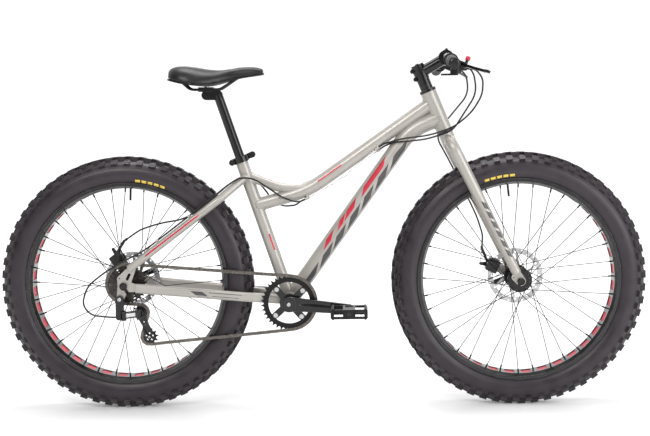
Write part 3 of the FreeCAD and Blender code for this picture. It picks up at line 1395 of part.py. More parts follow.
def cam_post(centre, face, angle):
    """The fixed washer, lug and cross pin that a cam lever turns on."""
    pivot = cam_pivot(centre, face)
    across = direction(angle + 90)
    washer = cross_rod(centre, face, face + CAM_WASHER, CAM_WASHER_R)
    lug = cross_rod(centre, face, pivot.y + CAM_LUG_R, CAM_LUG_R)
    pin = rod(pivot - across * CAM_HALF_WIDTH, pivot + across * CAM_HALF_WIDTH, CAM_PIN_R)
    return [washer, lug, pin]


def cam_lever(centre, face, angle):
    """A quick-release lever, folded shut along this direction in the side view."""
    half = CAM_LEVER_WIDTH / 2
    gap = CAM_LUG_R + CLEARANCE
    ends = [(CAM_LEVER_START, 0, CAM_LEVER_R), (CAM_LEVER_LENGTH, 0, CAM_LEVER_TIP_R)]
    shapes = [round_plate(ends, -half, half)]
    length = CAM_LEVER_START + CAM_LEVER_R
    for side in (-1, 1):
        shapes.append(rod(Z * (side * gap), Z * (side * CAM_HALF_WIDTH), CAM_R))
        cheek = middle_box(length, CAM_LEVER_WIDTH, CAM_HALF_WIDTH - gap)
        shapes.append(cheek.translated(V(length / 2, 0, side * (CAM_HALF_WIDTH + gap) / 2)))
    lever = fused(shapes).cut(rod(Z * -CAM_HALF_WIDTH, Z * CAM_HALF_WIDTH, CAM_PIN_R + RUNNING_FIT))
    return placed(lever, cam_pivot(centre, face), direction(angle), direction(angle + 90))


def axle(centre, width, angle):
    """The fixed axle with its locknuts, the skewer's nut on the right and its cam post on the left."""
    half = width / 2
    post = half + DROPOUT_THICKNESS
    bar = cross_rod(centre, -post, post, AXLE_R)
    solids = [bar]
    for low in (-half, half - LOCKNUT_WIDTH):
        solids.append(cross_rod(centre, low, low + LOCKNUT_WIDTH, LOCKNUT_R))
    nut = cross_rod(centre, -post - SKEWER_NUT_WIDTH, -post, SKEWER_NUT_R)
    rims = [e for e in nut.Edges if e.Closed and e.CenterOfMass.y < -post - SKEWER_NUT_WIDTH / 2]
    solids.append(nut.makeChamfer(SKEWER_NUT_WIDTH / 4, rims))
    return [fused(solids + cam_post(centre, post, angle))]


def wheel(name, centre, right_y, left_y, right_end, left_end, rotor_y, valve_angle):
    tyre = casing()
    ring, cuts = rim(valve_angle)
    parts = {
        "tyre": [tyre.fuse(knobs())] + inner_tube(valve_angle),
        "rim": [ring.cut(cuts + nipple_holes(right_y, left_y)), rim_strip(valve_angle)],
        "spokes": spokes(right_y, left_y),
        "hub": [hub(right_y, left_y, right_end, left_end, rotor_y)],
        "rotor": rotor(rotor_y),
    }
    for piece, shapes in parts.items():
        save(f"{name}_{piece}", [shape.translated(centre) for shape in shapes])


# Disc brake calipers
def caliper(axle_point, width, rotor_y, angle, arm_angle):
    """A caliper body that straddles the rotor's edge, its two pads and its cable stop."""
    out = direction(angle)
    along = direction(angle + 90)
    face = width / 2
    low = rotor_y - CALIPER_INBOARD
    inner = ROTOR_R - CALIPER_REACH
    outer = ROTOR_R + CALIPER_BRIDGE
    length = 2 * CALIPER_HALF_LENGTH
    block = Part.makeBox(outer - inner, face - low, length, V(inner, low, -CALIPER_HALF_LENGTH))
    block = block.makeFillet(CALIPER_CORNER, edges_across(block))
    slot = Part.makeBox(ROTOR_R + PAD_THICKNESS - inner + CUT_OVERRUN, CALIPER_SLOT, 2 * length,
                        V(inner - CUT_OVERRUN, rotor_y - CALIPER_SLOT / 2, -length))
    body = block.cut(slot)
    pads = []
    for side in (-1, 1):
        y = rotor_y + side * (CALIPER_SLOT / 2 - PAD_THICKNESS / 2)
        pad = middle_box(PAD_DEPTH, PAD_THICKNESS, 2 * PAD_HALF_LENGTH)
        pads.append(pad.translated(V(ROTOR_R - (PAD_DEPTH + PAD_THICKNESS) / 2, y, 0)))
    shapes = [placed(shape, axle_point, out, along) for shape in [body] + pads]
    pivot = caliper_pivot(axle_point, angle)
    plane = face + DROPOUT_THICKNESS
    beyond = plane + CALIPER_ARM_WIDTH + 2 * CLEARANCE
    pin = cross_rod(pivot, face, beyond, CALIPER_PIN_R)
    head = cross_rod(pivot, beyond, plane + CALIPER_ARM_WIDTH + CALIPER_PIN_R, CALIPER_ARM_BOSS_R)
    stop = caliper_stop_point(axle_point, width, angle, arm_angle)
    pull = direction(arm_angle - 90)
    barrel = rod(stop, stop + pull * CALIPER_STOP_LENGTH, CALIPER_STOP_R)
    top = axle_point + out * (outer - CALIPER_CORNER)
    foot = stop + pull * CALIPER_STOP_R
    ends = [(top.x, top.z, CALIPER_STOP_R), (foot.x, foot.z, CALIPER_STOP_R)]
    strut = round_plate(ends, face - DROPOUT_THICKNESS, face)
    arm_y = plane + CLEARANCE + CALIPER_ARM_WIDTH / 2
    post = cross_rod(foot, face - DROPOUT_THICKNESS, arm_y, CALIPER_STOP_R)
    wire = rod(stop - pull * CALIPER_STOP_LENGTH, stop + pull * CALIPER_STOP_LENGTH, WIRE_R + SEAT_GAP)
    body = fused([shapes[0], pin, head, strut, post, barrel]).cut(wire)
    return [body] + shapes[1:]


def caliper_stop_point(axle_point, width, angle, arm_angle):
    """Where the wire leaves its stop on the way to the end of the arm."""
    pivot = caliper_pivot(axle_point, angle)
    tip = pivot + direction(arm_angle) * CALIPER_ARM_LENGTH
    y = width / 2 + DROPOUT_THICKNESS + CLEARANCE + CALIPER_ARM_WIDTH / 2
    return tip + direction(arm_angle - 90) * CALIPER_STOP_RISE + Y * y


def caliper_arm(axle_point, width, angle, arm_angle):
    pivot = caliper_pivot(axle_point, angle)
    tip = pivot + direction(arm_angle) * CALIPER_ARM_LENGTH
    low = width / 2 + DROPOUT_THICKNESS + CLEARANCE
    high = low + CALIPER_ARM_WIDTH
    arm = round_plate([(pivot.x, pivot.z, CALIPER_ARM_BOSS_R), (tip.x, tip.z, CALIPER_ARM_R)], low, high)
    return arm.cut(cross_rod(pivot, low - CUT_OVERRUN, high + CUT_OVERRUN, CALIPER_PIN_R + RUNNING_FIT))


# Chain and sprockets
def pitch_radius(teeth):
    return CHAIN_PITCH / (2 * math.sin(math.pi / teeth))


def sprocket(teeth, phase, low, high):
    """A toothed disc about the origin with round roller seats; phase is the angle of one seat in radians."""
    radius = pitch_radius(teeth)
    tip = radius + TOOTH_HEIGHT
    swing = math.radians(SEAT_ARC_ANGLE)
    half_tip = math.pi / teeth - TOOTH_TIP / 2 / tip
    edges = []
    start = None
    for i in range(teeth):
        angle = phase + 2 * math.pi * i / teeth
        outward = V(math.cos(angle), 0, math.sin(angle))
        across = V(-math.sin(angle), 0, math.cos(angle))
        seat = []
        for turn in (-swing, 0, swing):
            depth = radius - ROLLER_SEAT_R * math.cos(turn)
            seat.append(outward * depth + across * (ROLLER_SEAT_R * math.sin(turn)))
        tips = [V(tip * math.cos(angle + a), 0, tip * math.sin(angle + a)) for a in (-half_tip, half_tip)]
        if start is not None:
            edges.append(Part.LineSegment(start, tips[0]).toShape())
        edges.append(Part.LineSegment(tips[0], seat[0]).toShape())
        edges.append(Part.Arc(*seat).toShape())
        edges.append(Part.LineSegment(seat[2], tips[1]).toShape())
        start = tips[1]
    edges.append(Part.LineSegment(start, edges[0].Vertexes[0].Point).toShape())
    face = Part.Face(Part.Wire(edges))
    face.translate(V(0, low, 0))
    return face.extrude(V(0, high - low, 0))


def tangent(a, b):
    """Where a chain leaves one wheel and reaches the next. Each is (x, z, radius, +1 clockwise or -1, y)."""
    dx, dz = b[0] - a[0], b[1] - a[1]
    run = math.hypot(dx, dz)
    lean = math.asin((a[2] * a[3] - b[2] * b[3]) / run)
    heading = math.atan2(dz, dx)
    normal = heading + math.pi / 2 - lean
    points = []
    for x, z, radius, turn, _ in (a, b):
        points.append((x + turn * radius * math.cos(normal), z + turn * radius * math.sin(normal)))
    return points


def chain_wheels(cage_angle):
    """The four wheels that the chain goes round, in the order that it meets them."""
    guide = guide_point()
    tension = guide + direction(cage_angle) * CAGE_LENGTH
    pulley = pitch_radius(PULLEY_TEETH)
    return [
        (BB.x, BB.z, pitch_radius(RING_TEETH), 1, RING_Y),
        (tension.x, tension.z, pulley, 1, LARGE_COG_Y),
        (guide.x, guide.z, pulley, -1, LARGE_COG_Y),
        (REAR_AXLE.x, REAR_AXLE.z, pitch_radius(COG_TEETH[-1]), 1, LARGE_COG_Y),
    ]


def chain_spans(cage_angle):
    """The chain's arcs and straight runs as functions of the distance along each, with their lengths."""
    wheels = chain_wheels(cage_angle)
    count = len(wheels)
    runs = [tangent(wheels[i], wheels[(i + 1) % count]) for i in range(count)]
    spans = []
    for i, (x, z, radius, turn, y) in enumerate(wheels):
        enter = runs[i - 1][1]
        leave = runs[i][0]
        first = math.atan2(enter[1] - z, enter[0] - x)
        last = math.atan2(leave[1] - z, leave[0] - x)
        wrap = (first - last) * turn
        while wrap < 0:
            wrap += 2 * math.pi
        spans.append(("arc", radius * wrap, (x, z, radius, turn, y, first)))
        follow = wheels[(i + 1) % count][-1]
        start, end = runs[i]
        spans.append(("run", math.dist(start, end), (start, end, y, follow)))
    return spans


def chain_point(spans, distance):
    """The point on the chain's line this far from its start."""
    for kind, length, data in spans:
        if distance <= length:
            break
        distance -= length
    if kind == "arc":
        x, z, radius, turn, y, first = data
        angle = first - turn * distance / radius
        return V(x + radius * math.cos(angle), y, z + radius * math.sin(angle))
    (ax, az), (bx, bz), y_from, y_to = data
    share = distance / length
    ease = share * share * (3 - 2 * share)
    return V(ax + (bx - ax) * share, y_from + (y_to - y_from) * ease, az + (bz - az) * share)


def chain_pins(cage_angle, count):
    """Pins one pitch apart along the chain's line, and how far the last one stops from closing the loop."""
    spans = chain_spans(cage_angle)
    total = sum(length for _, length, _ in spans)
    distance = spans[0][1] / 2
    closing = distance + total
    pins = [chain_point(spans, distance)]
    for _ in range(count):
        low, high = distance, distance + 2 * CHAIN_PITCH
        for _ in range(BISECTIONS):
            middle = (low + high) / 2
            if (chain_point(spans, middle % total) - pins[-1]).Length < CHAIN_PITCH:
                low = middle
            else:
                high = middle
        distance = high
        pins.append(chain_point(spans, distance % total))
    return pins[:-1], distance - closing


def chain_layout():
    """The cage angle and the pins of the chain with an even number of links that fits the drive."""
    middle = (CAGE_ANGLE_LOW + CAGE_ANGLE_HIGH) / 2
    total = sum(length for _, length, _ in chain_spans(middle))
    count = 2 * round(total / (2 * CHAIN_PITCH))
    low, high = CAGE_ANGLE_LOW, CAGE_ANGLE_HIGH
    rising = chain_pins(high, count)[1] > chain_pins(low, count)[1]
    for _ in range(BISECTIONS):
        middle = (low + high) / 2
        if (chain_pins(middle, count)[1] < 0) == rising:
            low = middle
        else:
            high = middle
    return middle, chain_pins(middle, count)[0]


def chain_links(pins):
    """Inner links with their rollers and outer links with their pins, turn about round the loop."""
    half = CHAIN_INNER_GAP / 2
    outer_low = half + CHAIN_PLATE + CHAIN_PLATE_GAP
    ends = [(0, 0, CHAIN_PLATE_R), (CHAIN_PITCH, 0, CHAIN_PLATE_R)]
    far = V(CHAIN_PITCH, 0, 0)
    plate = round_plate(ends, half, half + CHAIN_PLATE)
    inner = [plate, mirrored(plate)]
    inner += [cross_rod(p, -half, half, ROLLER_R) for p in (ORIGIN, far)]
    bores = [cross_rod(p, -2 * outer_low, 2 * outer_low, CHAIN_PIN_R + RUNNING_FIT) for p in (ORIGIN, far)]
    inner = fused(inner).cut(bores)
    plate = round_plate(ends, outer_low, outer_low + CHAIN_PLATE)
    outer = [plate, mirrored(plate)]
    reach = outer_low + CHAIN_PLATE + CHAIN_PIN_HEAD
    outer += [cross_rod(p, -reach, reach, CHAIN_PIN_R) for p in (ORIGIN, far)]
    outer = fused(outer)
    links = []
    for i, (pin, follow) in enumerate(zip(pins, pins[1:] + pins[:1])):
        ahead = (follow - pin).normalize()
        up = ahead.cross(Y).normalize()
        links.append(placed(inner if i % 2 else outer, pin, ahead, up))
    return links


def seat_phase(pins, centre, teeth):
    """The angle of the pin that lies deepest in this sprocket."""
    radius = pitch_radius(teeth)
    near = min(pins, key=lambda p: abs(math.hypot(p.x - centre.x, p.z - centre.z) - radius))
    return math.atan2(near.z - centre.z, near.x - centre.x)


def cassette(phase):
    """Eight cogs on a freehub body, with the chain on the largest."""
    shapes = []
    bore = FREEHUB_R + SEAT_GAP
    for i, teeth in enumerate(COG_TEETH):
        y = SMALL_COG_Y + i * COG_SPACING
        low, high = y - COG_THICKNESS / 2, y + COG_THICKNESS / 2
        cog = sprocket(teeth, phase, low, high)
        cuts = [cross_rod(ORIGIN, low - CUT_OVERRUN, high + CUT_OVERRUN, bore)]
        root = pitch_radius(teeth) - ROLLER_SEAT_R
        room = root - bore - COG_WINDOW_MARGIN
        if room > COG_WINDOW_MARGIN / 2:
            middle = bore + (root - bore) / 2
            for k in range(COG_WINDOW_COUNT):
                place = direction(k * 360.0 / COG_WINDOW_COUNT) * middle
                cuts.append(cross_rod(place, low - CUT_OVERRUN, high + CUT_OVERRUN, room / 2))
        shapes.append(cog.cut(cuts))
        if i:
            shapes.append(cross_sleeve(ORIGIN, low - COG_SPACING + COG_THICKNESS, low, LOCKRING_R, bore))
    inner = LARGE_COG_Y + COG_THICKNESS / 2
    outer = SMALL_COG_Y - COG_THICKNESS / 2
    body = cross_sleeve(ORIGIN, outer, inner + COG_THICKNESS, FREEHUB_R, AXLE_R + RUNNING_FIT)
    lockring = cross_sleeve(ORIGIN, outer - LOCKRING_WIDTH, outer, LOCKRING_R, LOCKNUT_R + CLEARANCE)
    return [shape.translated(REAR_AXLE) for shape in shapes + [body, lockring]]


def spider_places(radius):
    return [direction(SPIDER_START + i * 360.0 / SPIDER_ARMS) * radius + BB for i in range(SPIDER_ARMS)]


def spider_holes(low, high):
    return [cross_rod(place, low, high, RING_BOLT_R) for place in spider_places(RING_BOLT_CIRCLE_R)]


def chainring(phase):
    low, high = RING_Y - RING_THICKNESS / 2, RING_Y + RING_THICKNESS / 2
    tip = pitch_radius(RING_TEETH) + TOOTH_HEIGHT
    flank = tip - TOOTH_BEVEL_DEPTH
    blank = turned([
        (RING_INNER_R, low), (flank, low), (tip, low + TOOTH_BEVEL), (tip, high - TOOTH_BEVEL), (flank, high),
        (RING_INNER_R, high)], BB)
    ring = sprocket(RING_TEETH, phase, low, high).translated(BB).common(blank)
    tabs = []
    bolts = []
    for inner, outer in zip(spider_places(RING_BOLT_CIRCLE_R), spider_places(RING_INNER_R)):
        tab = round_plate([(inner.x, inner.z, RING_TAB_R), (outer.x, outer.z, RING_TAB_R)], low, high)
        tabs.append(tab)
        shank = cross_rod(inner, low - SPIDER_THICKNESS - SEAT_GAP, high, RING_BOLT_R)
        nut = cross_rod(inner, high, high + RING_BOLT_HEAD, RING_BOLT_HEAD_R)
        head_y = low - SPIDER_THICKNESS - SEAT_GAP
        head = cross_rod(inner, head_y - RING_BOLT_HEAD, head_y, RING_BOLT_HEAD_R)
        bolts.append(fused([shank, nut, head]))
    return [fused([ring] + tabs).cut(spider_holes(low - CUT_OVERRUN, high + CUT_OVERRUN))] + bolts


def crank_arm(side, angle):
    """One crank arm: a boss on the spindle and a tapered arm with eased edges."""
    end = BB + direction(angle) * CRANK_LENGTH
    inner = side * CRANK_INNER_Y
    outer = side * (CRANK_INNER_Y + CRANK_THICKNESS)
    low, high = sorted((inner, outer))
    arm = round_plate([(BB.x, BB.z, CRANK_BOSS_R), (end.x, end.z, CRANK_END_R)], low, high)
    flats = [face for face in arm.Faces if abs(face.normalAt(0, 0).y) > FACE_SQUARE_SHARE]
    rims = [edge for face in flats for edge in face.OuterWire.Edges]
    arm = arm.makeFillet(CRANK_EDGE, rims)
    boss = cross_rod(BB, *sorted((side * CRANK_BOSS_INNER_Y, side * CRANK_BOSS_OUTER_Y)), CRANK_BOSS_R)
    hole = cross_rod(end, low - CUT_OVERRUN, high + CUT_OVERRUN, PEDAL_AXLE_R)
    return fused([arm, boss]).cut(hole)


def crank_right():
    high = RING_Y - RING_THICKNESS / 2 - SEAT_GAP
    low = high - SPIDER_THICKNESS
    arms = [cross_rod(BB, low, high, SPIDER_HUB_R)]
    for place in spider_places(RING_BOLT_CIRCLE_R):
        arms.append(round_plate([(BB.x, BB.z, SPIDER_ARM_R), (place.x, place.z, SPIDER_ARM_R)], low, high))
    holes = spider_holes(low - CUT_OVERRUN, high + CUT_OVERRUN)
    spindle = cross_rod(BB, -BB_SHELL_WIDTH, BB_SHELL_WIDTH, SPINDLE_R)
    cap = cross_rod(BB, -CRANK_BOSS_OUTER_Y - CRANK_CAP, -CRANK_BOSS_OUTER_Y, CRANK_CAP_R)
    body = fused([crank_arm(-1, CRANK_ANGLE)] + arms).cut(holes + [spindle])
    return [body, cap, pedal_axle(-1, CRANK_ANGLE)]


def crank_left():
    spindle = cross_rod(BB, -BB_SHELL_WIDTH, BB_SHELL_WIDTH, SPINDLE_R)
    cap = cross_rod(BB, CRANK_BOSS_OUTER_Y, CRANK_BOSS_OUTER_Y + CRANK_CAP, CRANK_CAP_R)
    return [crank_arm(1, CRANK_ANGLE + 180).cut(spindle), spindle, cap, pedal_axle(1, CRANK_ANGLE + 180)]


def pedal(side, angle):
    """A cage pedal with toothed edges, two reflectors and its spindle's barrel."""
    centre = BB + direction(angle) * CRANK_LENGTH
    inner = CRANK_INNER_Y + CRANK_THICKNESS + PEDAL_GAP
    middle_y = side * (inner + PEDAL_WIDTH / 2)
    frame = middle_box(PEDAL_LENGTH, PEDAL_WIDTH, PEDAL_HEIGHT)
    frame = frame.makeChamfer(PEDAL_FLAT, edges_across(frame))
    room = (PEDAL_LENGTH - 2 * PEDAL_BAR - PEDAL_BLOCK) / 2
    cuts = []
    for end in (-1, 1):
        x = end * (PEDAL_BLOCK + room) / 2
        cuts.append(middle_box(room, PEDAL_WIDTH - 2 * PEDAL_SIDE, 2 * PEDAL_HEIGHT).translated(V(x, 0, 0)))
        slot = middle_box(room, 2 * PEDAL_WIDTH, PEDAL_HEIGHT * PEDAL_WINDOW_HEIGHT_SHARE)
        cuts.append(slot.translated(V(x, 0, 0)))
        notch = middle_box(PEDAL_REFLECTOR, PEDAL_REFLECTOR_WIDTH, PEDAL_REFLECTOR_HEIGHT)
        cuts.append(notch.translated(V(end * (PEDAL_LENGTH - PEDAL_REFLECTOR) / 2, 0, 0)))
    for face in (-1, 1):
        depth = PEDAL_HEIGHT / 2 - PEDAL_BARREL_R
        groove = middle_box(PEDAL_BLOCK - 2 * PEDAL_SIDE, PEDAL_WIDTH - 2 * PEDAL_SIDE, depth)
        cuts.append(groove.translated(V(0, 0, face * (PEDAL_HEIGHT - depth) / 2)))
    teeth = []
    step = PEDAL_WIDTH / PEDAL_TEETH
    tooth = middle_box(PEDAL_TOOTH, PEDAL_TOOTH, 2 * PEDAL_TOOTH_HEIGHT)
    reach = (PEDAL_LENGTH + PEDAL_TOOTH) / 2 - PEDAL_BAR
    for end, face in ((-1, -1), (-1, 1), (1, -1), (1, 1)):
        for k in range(PEDAL_TEETH):
            along = (2 * k + 1 - PEDAL_TEETH) * step / 2
            teeth.append(tooth.translated(V(end * reach, along, face * PEDAL_HEIGHT / 2)))
    bore = cross_rod(ORIGIN, -PEDAL_WIDTH, PEDAL_WIDTH, PEDAL_AXLE_R + RUNNING_FIT)
    body = fused([frame.cut(cuts)] + teeth).cut(bore)
    reflectors = []
    for end in (-1, 1):
        block = middle_box(PEDAL_REFLECTOR, PEDAL_REFLECTOR_WIDTH, PEDAL_REFLECTOR_HEIGHT)
        reflectors.append(block.translated(V(end * (PEDAL_LENGTH - PEDAL_REFLECTOR) / 2, 0, 0)))
    base = V(centre.x, middle_y, centre.z)
    return [shape.translated(base) for shape in [body] + reflectors]


def pedal_axle(side, angle):
    centre = BB + direction(angle) * CRANK_LENGTH
    inner = CRANK_INNER_Y
    outer = CRANK_INNER_Y + CRANK_THICKNESS + PEDAL_GAP + PEDAL_WIDTH
    collar = CRANK_INNER_Y + CRANK_THICKNESS
    bar = cross_rod(centre, *sorted((side * inner, side * outer)), PEDAL_AXLE_R)
    rim = collar + PEDAL_GAP - 2 * CLEARANCE
    ring = cross_rod(centre, *sorted((side * collar, side * rim)), PEDAL_BARREL_R)
    return fused([bar, ring])


# Rear derailleur
def guide_point():
    return side_point(REAR_AXLE, GUIDE_X, 0, -GUIDE_DROP)


def derailleur_pins():
    """The four upright pins of the parallelogram: outer and inner, on the upper and on the lower knuckle."""
    guide = guide_point()
    lower = V(guide.x, KNUCKLE_Y + LINK_INWARD, guide.z)
    outer = V(lower.x - LINK_FORWARD, KNUCKLE_Y, guide.z)
    pair = V(-LINK_PAIR_BACK, LINK_PAIR_INWARD, 0)
    return {"outer": (outer, lower), "inner": (outer + pair, lower + pair)}


def upright(point, half, radius):
    return rod(point - Z * half, point + Z * half, radius)


def derailleur_link(name):
    start, end = derailleur_pins()[name]
    half = LINK_HEIGHT / 2
    barrels = [upright(p, half, LINK_R) for p in (start, end)]
    ahead = (end - start).normalize()
    plate = middle_box((end - start).Length, LINK_PLATE, LINK_HEIGHT)
    plate = placed(plate, (start + end) / 2, ahead, Z)
    holes = [upright(p, LINK_HEIGHT, LINK_PIN_R + RUNNING_FIT) for p in (start, end)]
    return fused(barrels + [plate]).cut(holes)


def knuckle_ears(index):
    """Two ears above and below the links, with the pins between them."""
    points = [derailleur_pins()[name][index] for name in ("outer", "inner")]
    half = LINK_HEIGHT / 2 + CLEARANCE
    shapes = []
    for level in (-1, 1):
        z_low = level * half if level > 0 else level * half - KNUCKLE_EAR
        discs = [(p.x, p.y, KNUCKLE_R) for p in points]
        face = round_face(discs)
        ear = face.extrude(Y * KNUCKLE_EAR)
        shapes.append(placed(ear, V(0, 0, points[0].z + z_low + KNUCKLE_EAR), V(1, 0, 0), V(0, 1, 0)))
    pins = [upright(p, half + KNUCKLE_EAR, LINK_PIN_R) for p in points]
    return shapes + pins, points, half


def knuckle_back():
    """Where the shift housing meets the back of the upper knuckle."""
    pin = derailleur_pins()["outer"][0]
    low = pin.z - LINK_HEIGHT / 2 - CLEARANCE - KNUCKLE_EAR
    outer = -REAR_HUB_WIDTH / 2 - DROPOUT_THICKNESS
    return V(pin.x - KNUCKLE_R - 2 * KNUCKLE_BACK, outer - KNUCKLE_HANG_WIDTH / 2, low + KNUCKLE_BACK)


def derailleur_knuckle():
    """The upper knuckle, which hangs on the frame's hanger bolt."""
    shapes, points, half = knuckle_ears(0)
    pivot = hanger_point()
    outer = -REAR_HUB_WIDTH / 2 - DROPOUT_THICKNESS
    hang = cross_rod(pivot, outer - KNUCKLE_HANG_WIDTH, outer - SEAT_GAP, KNUCKLE_HANG_R)
    back = points[0].x - KNUCKLE_R - KNUCKLE_BACK
    low = points[0].z - half - KNUCKLE_EAR
    foot = low + KNUCKLE_BACK
    discs = [(back, foot, KNUCKLE_BACK), (back + KNUCKLE_BACK, foot, KNUCKLE_BACK)]
    discs.append((pivot.x, pivot.z, KNUCKLE_HANG_R))
    web = round_plate(discs, outer - KNUCKLE_HANG_WIDTH, outer - SEAT_GAP)
    sweep = [upright(p, half, LINK_R + CLEARANCE + LINK_PLATE) for p in points]
    body = fused([hang, web.cut(sweep)] + shapes)
    bolt = cross_rod(pivot, outer, outer + DROPOUT_THICKNESS, HANGER_BOLT_R)
    return [fused([body, bolt])]


def cage_planes():
    """The distances from the middle plane of the cage's inner and outer plates."""
    half = CHAIN_INNER_GAP / 2 + 2 * CHAIN_PLATE + CAGE_GAP
    return LARGE_COG_Y + half, LARGE_COG_Y - half


def derailleur_p_knuckle():
    """The lower knuckle, which carries the cage on a sprung pivot."""
    shapes, points, half = knuckle_ears(1)
    guide = guide_point()
    outer = cage_planes()[1]
    face = outer - CAGE_PLATE - CLEARANCE
    pivot = cross_rod(guide, face - LOWER_PIVOT_WIDTH, face, LOWER_PIVOT_R)
    sweep = [upright(p, half, LINK_R + CLEARANCE + LINK_PLATE) for p in points]
    pin = cross_rod(guide, face, outer + CAGE_GAP - 2 * CLEARANCE, PULLEY_BORE_R)
    return [fused([pivot.cut(sweep)] + shapes + [pin])]


def derailleur_cage(angle):
    """Two plates that hold the pulleys, with their bolts."""
    guide = guide_point()
    tension = guide + direction(angle) * CAGE_LENGTH
    middle = (guide + tension) / 2
    inner, outer = cage_planes()
    plates = []
    waist = (middle.x, middle.z, CAGE_WAIST_R)
    for low in (inner, outer - CAGE_PLATE):
        ends = [(place.x, place.z, CAGE_END_R) for place in (guide, tension)]
        plates.append(fused([round_plate([end, waist], low, low + CAGE_PLATE) for end in ends]))
    head_face = outer - CAGE_PLATE
    bolts = [
        cross_rod(guide, outer + CAGE_GAP, inner + CAGE_PLATE, PULLEY_BORE_R),
        fused([cross_rod(tension, head_face, inner + CAGE_PLATE, PULLEY_BORE_R),
               cross_rod(tension, head_face - CAGE_BOLT_HEAD, head_face, CAGE_BOLT_HEAD_R)]),
    ]
    pivot_hole = cross_rod(guide, outer - 2 * CAGE_PLATE, outer + CAGE_PLATE, PULLEY_BORE_R + RUNNING_FIT)
    plates = [plates[0].cut(bolts), plates[1].cut(bolts + [pivot_hole])]
    return plates + bolts


def pulley(place, phase):
    low, high = LARGE_COG_Y - PULLEY_THICKNESS / 2, LARGE_COG_Y + PULLEY_THICKNESS / 2
    disc = sprocket(PULLEY_TEETH, phase, low, high)
    bore = cross_rod(ORIGIN, low - CUT_OVERRUN, high + CUT_OVERRUN, PULLEY_BORE_R + RUNNING_FIT)
    return disc.cut(bore).translated(place)


# Cables, along routes chosen by hand
def cord(points, radius, name):
    """A cable along its route; the radii of its bends are printed."""
    radii = []
    for before, corner, after in zip(points, points[1:], points[2:]):
        half_turn = (math.pi - (before - corner).getAngle(after - corner)) / 2
        run = min((before - corner).Length, (after - corner).Length)
        radii.append(round(CORD_ARC_SHARE * run / math.tan(half_turn)))
    print(name, "bend radii", radii, "length", round(bent_path(points).Length))
    return pipe(points, radius)


def route(points):
    return [V(*point) for point in points]


def top_tube_run():
    bend, head = top_tube_points()[1:]
    return (head - bend).normalize()


def front_stop(left):
    """The middle of a cable stop under the front of the top tube."""
    run = top_tube_run()
    below = V(run.z, 0, -run.x)
    depth = math.sqrt(TOP_TUBE_R**2 - left**2) + STOP_R - RUNNING_FIT
    return top_tube_points()[2] - run * FRONT_STOP_RUN + below * depth + Y * left


def rear_stop(left):
    """The middle of a cable stop under the bend of the top tube."""
    return side_point(top_tube_points()[1], -REAR_STOP_BACK, left, -REAR_STOP_DROP)


def stay_top(run, side):
    """A point on the housing above a seatstay, this far up from the stay's foot."""
    low, bend = seatstay_points()[:2]
    ahead = (bend - low).normalize()
    up = (Z - ahead * ahead.z).normalize()
    point = low + ahead * run + up * (SEATSTAY_R + CLIP_R)
    return V(point.x, -side * point.y, point.z)


def blade_back(run):
    """A point on the housing behind the left fork blade, this far down from its corner."""
    down = blade_down()
    back = V(down.z, 0, -down.x)
    return fork_corner(1) + down * run + back * (BLADE_TOP_R + CLIP_R)


def stop_block(middle, ahead):
    """A drilled cable stop on the underside of the top tube."""
    half = ahead * (STOP_LENGTH / 2)
    post = rod(middle, middle + Z * STOP_LENGTH, STOP_POST_R)
    solid = pipe(top_tube_points(), TOP_TUBE_R, TOP_TUBE_BEND_R)
    return fused([rod(middle - half, middle + half, STOP_R), post.cut(solid)]).cut([
        solid, rod(middle - half * 2, middle + half * 2, WIRE_R + SEAT_GAP)])


def clip(middle, ahead, anchor, tube):
    """A ring round a housing with a post to the tube that carries it."""
    half = ahead * (CLIP_LENGTH / 2)
    ring = rod(middle - half, middle + half, CLIP_R)
    housing = rod(middle - half * 2, middle + half * 2, HOUSING_R + SEAT_GAP)
    return fused([ring, rod(middle, anchor, CLIP_POST_R)]).cut([housing, tube])


def cable_guides():
    run = top_tube_run()
    shapes = []
    for left in (SHIFT_STOP_Y, BRAKE_STOP_Y):
        shapes.append(stop_block(front_stop(left), run))
        shapes.append(stop_block(rear_stop(left), direction(REAR_STOP_ANGLE)))
    low, bend = seatstay_points()[:2]
    tube = pipe(seatstay_points(), SEATSTAY_R, SEATSTAY_BEND_R)
    for side, runs in ((-1, SHIFT_CLIP_RUNS), (1, BRAKE_CLIP_RUNS)):
        for distance in runs:
            ahead = (bend - low).normalize()
            piece = clip(stay_top(distance, -1), ahead, low + ahead * distance, tube)
            shapes.append(piece if side < 0 else mirrored(piece))
    return shapes


def front_cables():
    run = top_tube_run()
    nose = side_point(shifter_pod_point(SHIFTER_FROM_END), SHIFTER_POD_LENGTH + CLEARANCE, 0, 0)
    tip = bar_place(-1, PERCH_FROM_END, LEVER_PIVOT_FORWARD, 0)
    barrel = tip - bar_out(-1) * (PERCH_BARREL_LENGTH + CLEARANCE)
    shapes = []
    for name, start, points, left in (("shift front", nose, SHIFT_FRONT_ROUTE, SHIFT_STOP_Y),
                                      ("brake front", barrel, BRAKE_FRONT_ROUTE, BRAKE_STOP_Y)):
        end = front_stop(left) + run * (STOP_LENGTH / 2)
        shapes.append(cord([start] + route(points) + [end + run * STOP_LEAD, end], HOUSING_R, name))
    return shapes


def wire_between(left, name):
    """The bare wire under the top tube, from stop to stop."""
    run = top_tube_run()
    rear = direction(REAR_STOP_ANGLE)
    start = front_stop(left) + run * (STOP_LENGTH / 2)
    end = rear_stop(left) - rear * (STOP_LENGTH / 2)
    middle = (start + end) / 2 - Z * WIRE_SAG
    lead = STOP_LENGTH + STOP_LEAD
    return cord([start, start - run * lead, middle, end + rear * lead, end], WIRE_R, name)


